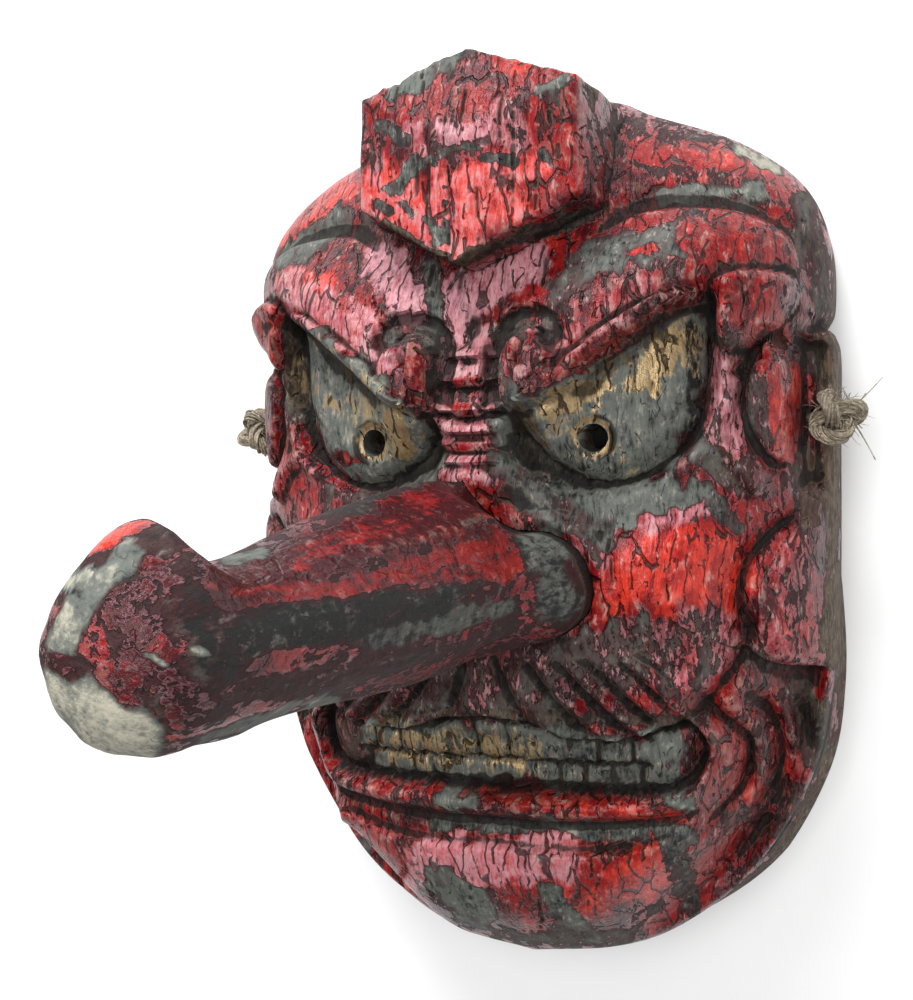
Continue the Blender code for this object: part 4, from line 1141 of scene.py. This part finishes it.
class Graph:
    """Short calls for the nodes of one material."""

    def __init__(self, name):
        self.material = bpy.data.materials.new(name)
        self.material.use_nodes = True
        self.tree = self.material.node_tree
        self.shader = self.tree.nodes["Principled BSDF"]

    def node(self, kind, links=None, **settings):
        node = self.tree.nodes.new(kind)
        for name, value in settings.items():
            setattr(node, name, value)
        for socket, value in (links or {}).items():
            self.feed(node.inputs[socket], value)
        return node

    def feed(self, socket, value):
        if isinstance(value, bpy.types.NodeSocket):
            self.tree.links.new(value, socket)
        else:
            socket.default_value = value

    def math(self, operation, a, b=0.0, c=0.0):
        node = self.node("ShaderNodeMath", {0: a, 1: b, 2: c}, operation=operation)
        return node.outputs[0]

    def times(self, a, b):
        return self.math("MULTIPLY", a, b)

    def add(self, value, other, amount):
        """value + other * amount"""
        return self.math("MULTIPLY_ADD", other, amount, value)

    def vary(self, value, noise, amount):
        """value, moved up and down by a noise from 0 to 1"""
        return self.add(value, self.math("SUBTRACT", noise, 0.5), amount)

    def clamped(self, value):
        return self.node("ShaderNodeClamp", {0: value}).outputs[0]

    def ramp(self, value, low, high, start=0.0, end=1.0):
        """Smooth run from start to end as value goes from low to high."""
        node = self.node("ShaderNodeMapRange", {0: value, 1: low, 2: high, 3: start, 4: end})
        node.interpolation_type = "SMOOTHSTEP"
        return node.outputs[0]

    def mix(self, share, a, b, kind="MIX"):
        node = self.node("ShaderNodeMix", data_type="RGBA", blend_type=kind)
        self.feed(node.inputs[0], share)
        for socket, value in ((6, a), (7, b)):
            self.feed(node.inputs[socket], (*value, 1) if isinstance(value, tuple) else value)
        return node.outputs[2]

    def noise(self, vector, scale, detail=3.0, rough=0.55):
        links = {"Vector": vector, "Scale": scale, "Detail": detail, "Roughness": rough}
        return self.node("ShaderNodeTexNoise", links).outputs[0]

    def cells(self, vector, scale, feature="F1"):
        return self.node("ShaderNodeTexVoronoi", {"Vector": vector, "Scale": scale}, feature=feature)

    def stretched(self, vector, scale):
        return self.node("ShaderNodeVectorMath", {0: vector, 1: scale}, operation="MULTIPLY").outputs[0]

    def channels(self, attribute):
        source = self.node("ShaderNodeAttribute", attribute_name=attribute)
        split = self.node("ShaderNodeSeparateColor", {0: source.outputs["Color"]})
        return split.outputs[0], split.outputs[1], split.outputs[2]


# Colours of the coats and the hemp
MAROON = (0.045, 0.005, 0.007)
RED = (0.22, 0.008, 0.008)
VERMILION = (0.54, 0.030, 0.014)
SHEEN_PINK = (0.52, 0.25, 0.285)
DARK_GROUND = (0.012, 0.013, 0.012)
GREY_GROUND = (0.110, 0.118, 0.104)
PALE_GROUND = (0.36, 0.34, 0.27)
SCUFF_AND_GLINT = (0.46, 0.38, 0.35)
DARK_WOOD = (0.030, 0.020, 0.013)
PALE_WOOD = (0.140, 0.098, 0.062)
DARK_GOLD = (0.16, 0.10, 0.04)
PALE_GOLD = (0.56, 0.41, 0.22)
SHADOW = (0.008, 0.006, 0.005)
GRIME = (0.115, 0.092, 0.066)
DARK_HEMP = (0.070, 0.054, 0.036)
PALE_HEMP = (0.44, 0.37, 0.27)
GREY_HEMP = (0.20, 0.17, 0.13)


def lacquered_wood(name, grain, shift, cracked=1.0):
    """Red lacquer that flakes off a grey ground on wood, with painted shadows and highlights at the flakes'
    rims, a painted sheen, and dust with painted shade in the hollows. grain is its flakes' size along X, Y
    and Z.
    """
    g = Graph(name)

    def stretched(vector, fineness):
        return g.stretched(vector, tuple(fineness / size for size in grain))

    red, tone, painted_sheen = g.channels("lacquer")
    ground, wood, gold = g.channels("under")
    dust_and_shade, edge, inside = g.channels("wear_and_shade")
    place = g.node("ShaderNodeTexCoord").outputs["Object"]
    place = g.node("ShaderNodeVectorMath", {0: place, 1: shift}, operation="ADD").outputs[0]
    sway = g.node("ShaderNodeTexNoise", {"Vector": place, "Scale": 90.0, "Detail": 3.0})
    sway = g.node("ShaderNodeVectorMath", {0: sway.outputs["Color"], 1: (0.5,) * 3}, operation="SUBTRACT")
    bent = g.node("ShaderNodeVectorMath", {0: sway.outputs[0], 1: (SWAY,) * 3, 2: place},
                  operation="MULTIPLY_ADD").outputs[0]
    along_grain = stretched(bent, 1)
    flakes = g.cells(along_grain, 1.0)
    flake = g.node("ShaderNodeSeparateColor", {0: flakes.outputs["Color"]}).outputs[0]
    seams = g.noise(stretched(bent, 2.2), 0.55, 2.0, 0.5)
    seams = g.math("ABSOLUTE", g.math("SUBTRACT", seams, 0.5))
    broken = g.noise(place, 160.0, 2.0)
    chips = g.cells(along_grain, 3.3)
    chip = g.node("ShaderNodeSeparateColor", {0: chips.outputs["Color"]}).outputs[0]
    mottle = g.noise(place, 260.0, 4.0, 0.6)
    fibre = g.noise(stretched(place, 2.7), 1.6, 4.0, 0.6)
    fine = g.noise(place, 1400.0, 2.0)

    cover = g.add(red, flake, 0.20)
    cover = g.add(cover, chip, 0.12)
    cover = g.add(cover, mottle, 0.5)
    cover = g.add(cover, fibre, 0.65)
    cover = g.math("SUBTRACT", cover, 0.735)
    coat = g.ramp(cover, 0.485, 0.515)
    # Painted shadow along the outside of each flake's rim, and a painted highlight along its inside, where a
    # lifted edge would catch the light.
    rim_shadow = g.times(g.ramp(cover, 0.42, 0.48), g.ramp(cover, 0.515, 0.49))
    rim_light = g.times(g.ramp(cover, 0.50, 0.53), g.ramp(cover, 0.60, 0.53))

    hue = g.vary(tone, mottle, 1.0)
    hue = g.vary(hue, flake, 0.30)
    hue = g.vary(hue, fibre, 0.8)
    lacquer = g.mix(g.ramp(hue, 0.0, 0.42), MAROON, RED)
    lacquer = g.mix(g.ramp(hue, 0.45, 0.95), lacquer, VERMILION)
    # Painted sheen: a pale pink haze over the lacquer where the gloss would shine, streaked along the grain.
    sheen_share = g.vary(painted_sheen, fibre, 1.8)
    sheen_share = g.vary(sheen_share, mottle, 1.2)
    sheen_share = g.times(g.ramp(sheen_share, 0.2, 1.5), g.ramp(painted_sheen, 0.0, 0.5))
    lacquer = g.mix(sheen_share, lacquer, SHEEN_PINK)
    # Painted highlight along the flakes' rims.
    lacquer = g.mix(g.times(rim_light, 0.2), lacquer, SHEEN_PINK)
    worn = g.times(edge, g.ramp(mottle, 0.50, 0.6))
    lacquer = g.mix(g.times(worn, 0.22), lacquer, PALE_GROUND)

    shade = g.vary(ground, mottle, 1.0)
    shade = g.vary(shade, fibre, 0.9)
    under = g.mix(g.ramp(shade, 0.06, 0.5), DARK_GROUND, GREY_GROUND)
    under = g.mix(g.ramp(shade, 0.5, 1.0), under, PALE_GROUND)
    bare = g.mix(g.ramp(fibre, 0.35, 0.65), DARK_WOOD, PALE_WOOD)
    under = g.mix(g.ramp(g.add(wood, mottle, 0.6), 0.5, 0.85), under, bare)
    leaf = g.add(gold, fibre, 0.9)
    leaf = g.add(leaf, mottle, 0.9)
    leaf = g.times(g.ramp(leaf, 1.28, 1.46), g.ramp(gold, 0.05, 0.2))
    under = g.mix(leaf, under, g.mix(fibre, DARK_GOLD, PALE_GOLD))
    stain = g.times(g.ramp(cover, 0.05, 0.47), g.ramp(red, 0.02, 0.25))
    under = g.mix(g.times(stain, 0.75), under, MAROON)
    # Painted shadow of the flakes' lifted rims.
    under = g.mix(g.times(rim_shadow, 0.9), under, SHADOW)

    colour = g.mix(coat, under, lacquer)
    # Pale scuffs on the lacquer, which also stand in as painted fine glints of the gloss.
    scuffs = g.noise(stretched(bent, 1.3), 3.0, 3.0, 0.7)
    scuff_and_glint = g.times(g.ramp(scuffs, 0.54, 0.68), g.ramp(mottle, 0.46, 0.6))
    colour = g.mix(g.times(scuff_and_glint, 0.15 + 0.35 * cracked), colour, SCUFF_AND_GLINT)
    crack = g.times(g.ramp(seams, 0.009, 0.003), g.ramp(broken, 0.50, 0.58))
    slits = g.cells(stretched(bent, 1.0), 0.95, "DISTANCE_TO_EDGE")
    slit = g.times(g.ramp(slits.outputs["Distance"], 0.06, 0.02), g.ramp(broken, 0.57, 0.50))
    slit = g.times(slit, g.math("MAXIMUM", g.ramp(cover, 0.45, 0.55), leaf))
    crack = g.math("MAXIMUM", crack, slit)
    crack = g.times(crack, g.ramp(inside, 1.0, 0.0, 0.0, cracked))
    colour = g.mix(g.times(crack, 0.85), colour, SHADOW)
    # Dust and painted shade: brown dust that turns to near-black painted shade in the deeper hollows, grooves
    # and creases.
    dust_shade_share = g.vary(dust_and_shade, mottle, 0.9)
    dust_shade_share = g.ramp(dust_shade_share, 0.12, 0.75)
    dust_then_shadow = g.mix(g.ramp(dust_shade_share, 0.25, 0.8), GRIME, SHADOW)
    colour = g.mix(g.times(dust_shade_share, 0.84), colour, dust_then_shadow)
    g.feed(g.shader.inputs["Base Color"], colour)

    dull = g.mix(coat, (0.72,) * 3, (0.30,) * 3)
    dull = g.mix(leaf, dull, (0.42,) * 3)
    dull = g.mix(g.times(dust_shade_share, 0.8), dull, (0.85,) * 3)
    dull = g.math("ADD", dull, g.times(g.math("SUBTRACT", mottle, 0.5), 0.35))
    g.feed(g.shader.inputs["Roughness"], g.clamped(dull))
    g.shader.inputs["Specular IOR Level"].default_value = 0.24
    g.feed(g.shader.inputs["Metallic"], g.times(leaf, g.ramp(coat, 1.0, 0.0, 0.0, 0.55)))

    height = g.times(coat, 0.35)
    height = g.add(height, rim_light, 0.12)
    height = g.add(height, crack, -1.0)
    height = g.add(height, mottle, 0.6)
    height = g.add(height, fibre, 0.45)
    height = g.add(height, fine, 0.05)
    bump = g.node("ShaderNodeBump", {"Strength": 1.0, "Distance": 0.0010, "Height": height})
    g.feed(g.shader.inputs["Normal"], bump.outputs[0])
    return g.material


def hemp():
    """Grey-brown hemp with darker twists and loose fibres."""
    g = Graph("hemp")
    place = g.node("ShaderNodeTexCoord").outputs["Object"]
    fibre = g.noise(place, 900.0, 4.0, 0.7)
    patch = g.noise(place, 130.0, 2.0)
    colour = g.mix(g.ramp(fibre, 0.3, 0.7), DARK_HEMP, PALE_HEMP)
    colour = g.mix(g.ramp(patch, 0.4, 0.7, 0.0, 0.5), colour, GREY_HEMP)
    g.feed(g.shader.inputs["Base Color"], colour)
    g.feed(g.shader.inputs["Roughness"], g.ramp(fibre, 0.2, 0.8, 0.75, 0.95))
    bump = g.node("ShaderNodeBump", {"Strength": 0.8, "Distance": 0.0004, "Height": fibre})
    g.feed(g.shader.inputs["Normal"], bump.outputs[0])
    return g.material


def tube_faces(count, sides):
    """Faces of a closed tube of count rings."""
    faces = [tuple(range(sides))[::-1], tuple(range((count - 1) * sides, count * sides))]
    for k in range(count - 1):
        for a in range(sides):
            n = (a + 1) % sides
            faces.append((k * sides + a, k * sides + n, (k + 1) * sides + n, (k + 1) * sides + a))
    return faces


def rope(name, points, diameter, twist=0.013, sides=18):
    """A laid rope of three strands along points."""
    points = np.array(points, float)
    runs = np.concatenate([[0], np.cumsum(np.linalg.norm(np.diff(points, axis=0), axis=1))])
    count = max(6, int(runs[-1] / (diameter * 0.35)))
    steps = np.linspace(0, runs[-1], count)
    path = np.column_stack([np.interp(steps, runs, points[:, k]) for k in range(3)])
    tangents = np.gradient(path, axis=0)
    tangents /= np.linalg.norm(tangents, axis=1)[:, None]
    side = np.cross(tangents[0], (0.3, 0.2, 0.9))
    side /= np.linalg.norm(side)
    verts = []
    for k in range(count):
        side = side - tangents[k] * (side @ tangents[k])
        side /= np.linalg.norm(side)
        other = np.cross(tangents[k], side)
        for a in range(sides):
            angle = 2 * math.pi * a / sides
            lobe = abs(math.cos(1.5 * (angle - 2 * math.pi * steps[k] / twist)))
            r = diameter / 2 * (0.80 + 0.20 * math.sqrt(lobe))
            verts.append(tuple(path[k] + r * (math.cos(angle) * side + math.sin(angle) * other)))
    rope_piece = new_object(name, verts, tube_faces(count, sides))
    rope_piece.data.shade_smooth()
    return rope_piece


def fibre_mesh(rng, root, direction, length, width):
    """One loose fibre: a thin tapered bar that curls."""
    sides = 3
    steps = 7
    verts = []
    heading = np.array(direction, float)
    heading /= np.linalg.norm(heading)
    curl = rng.normal(0, 1, 3)
    place = np.array(root, float)
    for k in range(steps):
        across = np.cross(heading, (0.31, 0.77, 0.55))
        across /= np.linalg.norm(across)
        other = np.cross(heading, across)
        size = width * (1 - 0.75 * k / (steps - 1))
        for a in range(sides):
            turn = 2 * math.pi * a / sides
            verts.append(tuple(place + size * (math.cos(turn) * across + math.sin(turn) * other)))
        heading = heading + 0.22 * curl + rng.normal(0, 0.12, 3)
        heading /= np.linalg.norm(heading)
        place = place + heading * length / (steps - 1)
    return verts, tube_faces(steps, sides)


def joined(name, parts):
    verts = []
    faces = []
    for part_verts, part_faces in parts:
        first = len(verts)
        verts.extend(part_verts)
        faces.extend(tuple(first + i for i in face) for face in part_faces)
    piece = new_object(name, verts, faces)
    piece.data.shade_smooth()
    return piece


def strand_mesh(points, width, taper=0.35, sides=5):
    """A thin strand along points, thinner at its end."""
    path = np.array(points, float)
    runs = np.gradient(path, axis=0)
    runs /= np.linalg.norm(runs, axis=1)[:, None] + 1e-12
    across = np.cross(runs, (0.31, 0.77, 0.55))
    across /= np.linalg.norm(across, axis=1)[:, None]
    other = np.cross(runs, across)
    count = len(path)
    size = width * (1 - (1 - taper) * np.linspace(0, 1, count) ** 3)
    verts = []
    for a in range(sides):
        turn = 2 * math.pi * a / sides
        verts.append(path + size[:, None] * (math.cos(turn) * across + math.sin(turn) * other))
    verts = [tuple(verts[a][k]) for k in range(count) for a in range(sides)]
    return verts, tube_faces(count, sides)


def build_knot(name, side, seed):
    """A frayed knot of the cord: thin strands that go round together and end loose."""
    rng = np.random.default_rng(seed)
    middle, slant = ear_axis(side)
    out = np.array(slant)
    centre = np.array(middle + slant * (KNOT / 2 + KNOT_GAP))
    turn = np.array(slant.to_track_quat("Z", "Y").to_matrix())
    loop = KNOT / 2 - CORD / 2
    t = np.linspace(0.15, 2 * math.pi + 0.15, 90)
    curve = np.column_stack([
        (np.sin(t) + 2 * np.sin(2 * t)) / 3.0,
        (np.cos(t) - 2 * np.cos(2 * t)) / 3.0,
        -0.85 * np.sin(3 * t),
    ]) * loop * np.array([1.0, 1.0, 0.78])
    curve = curve @ turn.T
    runs = np.gradient(curve, axis=0)
    runs /= np.linalg.norm(runs, axis=1)[:, None]
    across = np.cross(runs, out)
    across /= np.linalg.norm(across, axis=1)[:, None]
    other = np.cross(runs, across)
    away = out * 0.8 + np.array([0.15 * side, -0.25, -0.2])
    parts = []
    for _ in range(KNOT_STRANDS):
        reach = CORD * STRAND_REACH * math.sqrt(rng.uniform(0.05, 1.0))
        phase = rng.uniform(0, 2 * math.pi) + 2.6 * t
        wave = reach * (1 + 0.25 * np.sin(3.0 * t + rng.uniform(0, 6)))
        around = np.cos(phase)[:, None] * across + np.sin(phase)[:, None] * other
        path = centre + curve + wave[:, None] * around
        heading = away + rng.normal(0, 0.55, 3)
        heading /= np.linalg.norm(heading)
        length = rng.uniform(0.004, 0.011) * (1.0 if side > 0 else 0.45)
        bend = rng.normal(0, 0.35, 3)
        steps = np.linspace(0, 1, 12)[1:, None]
        tail = path[-1] + length * (steps * heading + steps**2 * bend)
        parts.append(strand_mesh(np.vstack([path, tail]), rng.uniform(0.00034, 0.00058)))
    for _ in range(KNOT_FIBRES):
        ray = rng.normal(0, 1, 3)
        ray /= np.linalg.norm(ray)
        if ray @ out < -0.35:
            continue
        root = centre + ray * (KNOT / 2 - 0.0026)
        length = rng.uniform(0.003, 0.0065) * (1.0 if side > 0 else 0.5)
        parts.append(fibre_mesh(rng, root, ray + rng.normal(0, 0.8, 3), length, FIBRE))
    return joined(name, parts)


def cord_points():
    """Points along the cord, from one knot through both ears to the other knot."""
    ends = []
    for side in (1, -1):
        middle, slant = ear_axis(side)
        foot = middle + slant * (KNOT_GAP + 0.03 * KNOT - CORD_GAP)
        ends.append([tuple(foot), tuple(middle - slant * 0.010), tuple(middle - slant * 0.020)])
    return spline(ends[0] + CORD_ROUTE + ends[1][::-1])


def build_camera():
    right, up, back = camera_axes()
    place = CAMERA_TARGET + back * CAMERA_AWAY
    camera = bpy.data.cameras.new("camera")
    camera.lens = CAMERA_LENS
    camera.sensor_width = SENSOR
    camera.clip_start = 0.01
    piece = bpy.data.objects.new("camera", camera)
    bpy.context.collection.objects.link(piece)
    piece.matrix_world = Matrix((
        (right.x, up.x, back.x, place.x),
        (right.y, up.y, back.y, place.y),
        (right.z, up.z, back.z, place.z),
        (0, 0, 0, 1),
    ))
    bpy.context.scene.camera = piece


# Lights: place, aim, size, power and colour
LIGHTS = {
    "window": ((-0.20, 0.95, 0.60), (0, 0, 0.08), (0.55, 0.4), 14, (0.96, 0.98, 1.0)),
    "front": ((0.10, 0.20, 1.25), (0, -0.03, 0.08), (0.8, 0.8), 14, (1, 1, 1)),
    "side": ((0.9, -0.1, 0.45), (0, 0, 0.08), (0.6, 0.6), 1.5, (1, 1, 1)),
}
STUDIO_LIGHT = 0.26
FLOOR_HALF = 3
FLOOR_DROP = 0.0002  # below the rim, so that the two don't meet in one plane


def build_light(name, place, aim, size, power, colour):
    light = bpy.data.lights.new(name, "AREA")
    light.shape = "RECTANGLE"
    light.size, light.size_y = size
    light.energy = power
    light.color = colour
    piece = bpy.data.objects.new(name, light)
    bpy.context.collection.objects.link(piece)
    piece.location = place
    piece.rotation_euler = (Vector(place) - Vector(aim)).to_track_quat("Z", "Y").to_euler()


def build_stage():
    corners = [(FLOOR_HALF * x, FLOOR_HALF * y, 0) for x, y in ((-1, -1), (1, -1), (1, 1), (-1, 1))]
    floor = new_object("floor", corners, [(0, 1, 2, 3)])
    g = Graph("pale_floor")
    speck = g.noise(g.node("ShaderNodeTexCoord").outputs["Object"], 40.0)
    g.feed(g.shader.inputs["Base Color"], g.mix(speck, (0.86, 0.86, 0.86), (0.90, 0.90, 0.90)))
    g.shader.inputs["Roughness"].default_value = 0.9
    floor.data.materials.append(g.material)
    floor.location.z = -FLOOR_DROP
    for name, light in LIGHTS.items():
        build_light(name, *light)
    world = bpy.data.worlds.new("studio")
    bpy.context.scene.world = world
    world.use_nodes = True
    world.node_tree.nodes["Background"].inputs[0].default_value = (1, 1, 1, 1)
    world.node_tree.nodes["Background"].inputs[1].default_value = STUDIO_LIGHT
    bpy.context.scene.view_settings.view_transform = "Standard"


def paint_mask(mask):
    """Face and cap painted apart, bare wood inside and under, and thin lacquer low on the wall."""
    points = places(mask.data)
    coats = paint(mask, FACE_BASE, FACE_AREAS, MASK_SHIFT)
    cap_coats = paint(mask, FACE_BASE, CAP_AREAS, CAP_SHIFT)
    past_cap = points[:, 1] - (CAP_MIDDLE - MIDDLE) * UNIT
    level = points[:, 2] + past_cap * math.tan(CAP_TILT)
    on_cap = (np.abs(points[:, 0]) < CAP_RADIUS * 1.22) & (past_cap > -CAP_RADIUS * 1.02)
    on_cap &= level > CAP_FOOT - 0.012 * ease(0.0, 0.03, past_cap)
    for name in FACE_BASE:
        coats[name] = np.where(on_cap, cap_coats[name], coats[name])
    at_foot = points[:, 2] < RIM_BAND
    out = np.hypot(points[:, 0], points[:, 1]) / UNIT
    share = out / outline_reach(np.arctan2(points[:, 1], np.abs(points[:, 0])))
    hidden = ((normals(mask.data)[:, 2] < -0.15) & (share < 0.985)) | at_foot
    low_side = ease(*LOW_SIDE, points[:, 2])
    coats["wood"] = np.maximum(coats["wood"], 0.6 * low_side)
    coats["red"] -= 0.35 * low_side
    add_wear_and_shade(mask, coats, hidden)


def paint_nose(nose):
    """The nose's lacquer, with painted shade round its root."""
    coats = paint(nose, NOSE_BASE, NOSE_AREAS, NOSE_SHIFT, 0.30)
    coats["dust_and_shade"] = np.maximum(coats["dust_and_shade"], ease(*NOSE_ROOT_SHADE, places(nose.data)[:, 2]))
    add_wear_and_shade(nose, coats)


build_camera()
build_stage()

route = cord_points()
cord = rope("laid_cord", route, CORD)
knots = [
    build_knot("frayed_knot_right", 1, KNOT_SEEDS["right"]),
    build_knot("frayed_knot_left", -1, KNOT_SEEDS["left"]),
]
hemp_material = hemp()
for piece in (cord, *knots):
    piece.data.materials.append(hemp_material)

mask = build_mask()
paint_mask(mask)
mask.data.materials.clear()
mask.data.materials.append(lacquered_wood("flaking_lacquer", MASK_FLAKES, (0.0, 0.0, 0.0)))
mask.data.shade_smooth()
mask.data.set_sharp_from_angle(angle=math.radians(55))

nose = build_nose()
paint_nose(nose)
nose.data.materials.append(lacquered_wood("worn_lacquer", NOSE_FLAKES, NOSE_PATTERN, 0.2))
nose.data.shade_smooth()

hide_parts("mask")
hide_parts("nose")
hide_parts("cord")
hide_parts("knot_right")
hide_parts("knot_left")
for piece in (mask, nose, cord, *knots):
    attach(piece, "root")
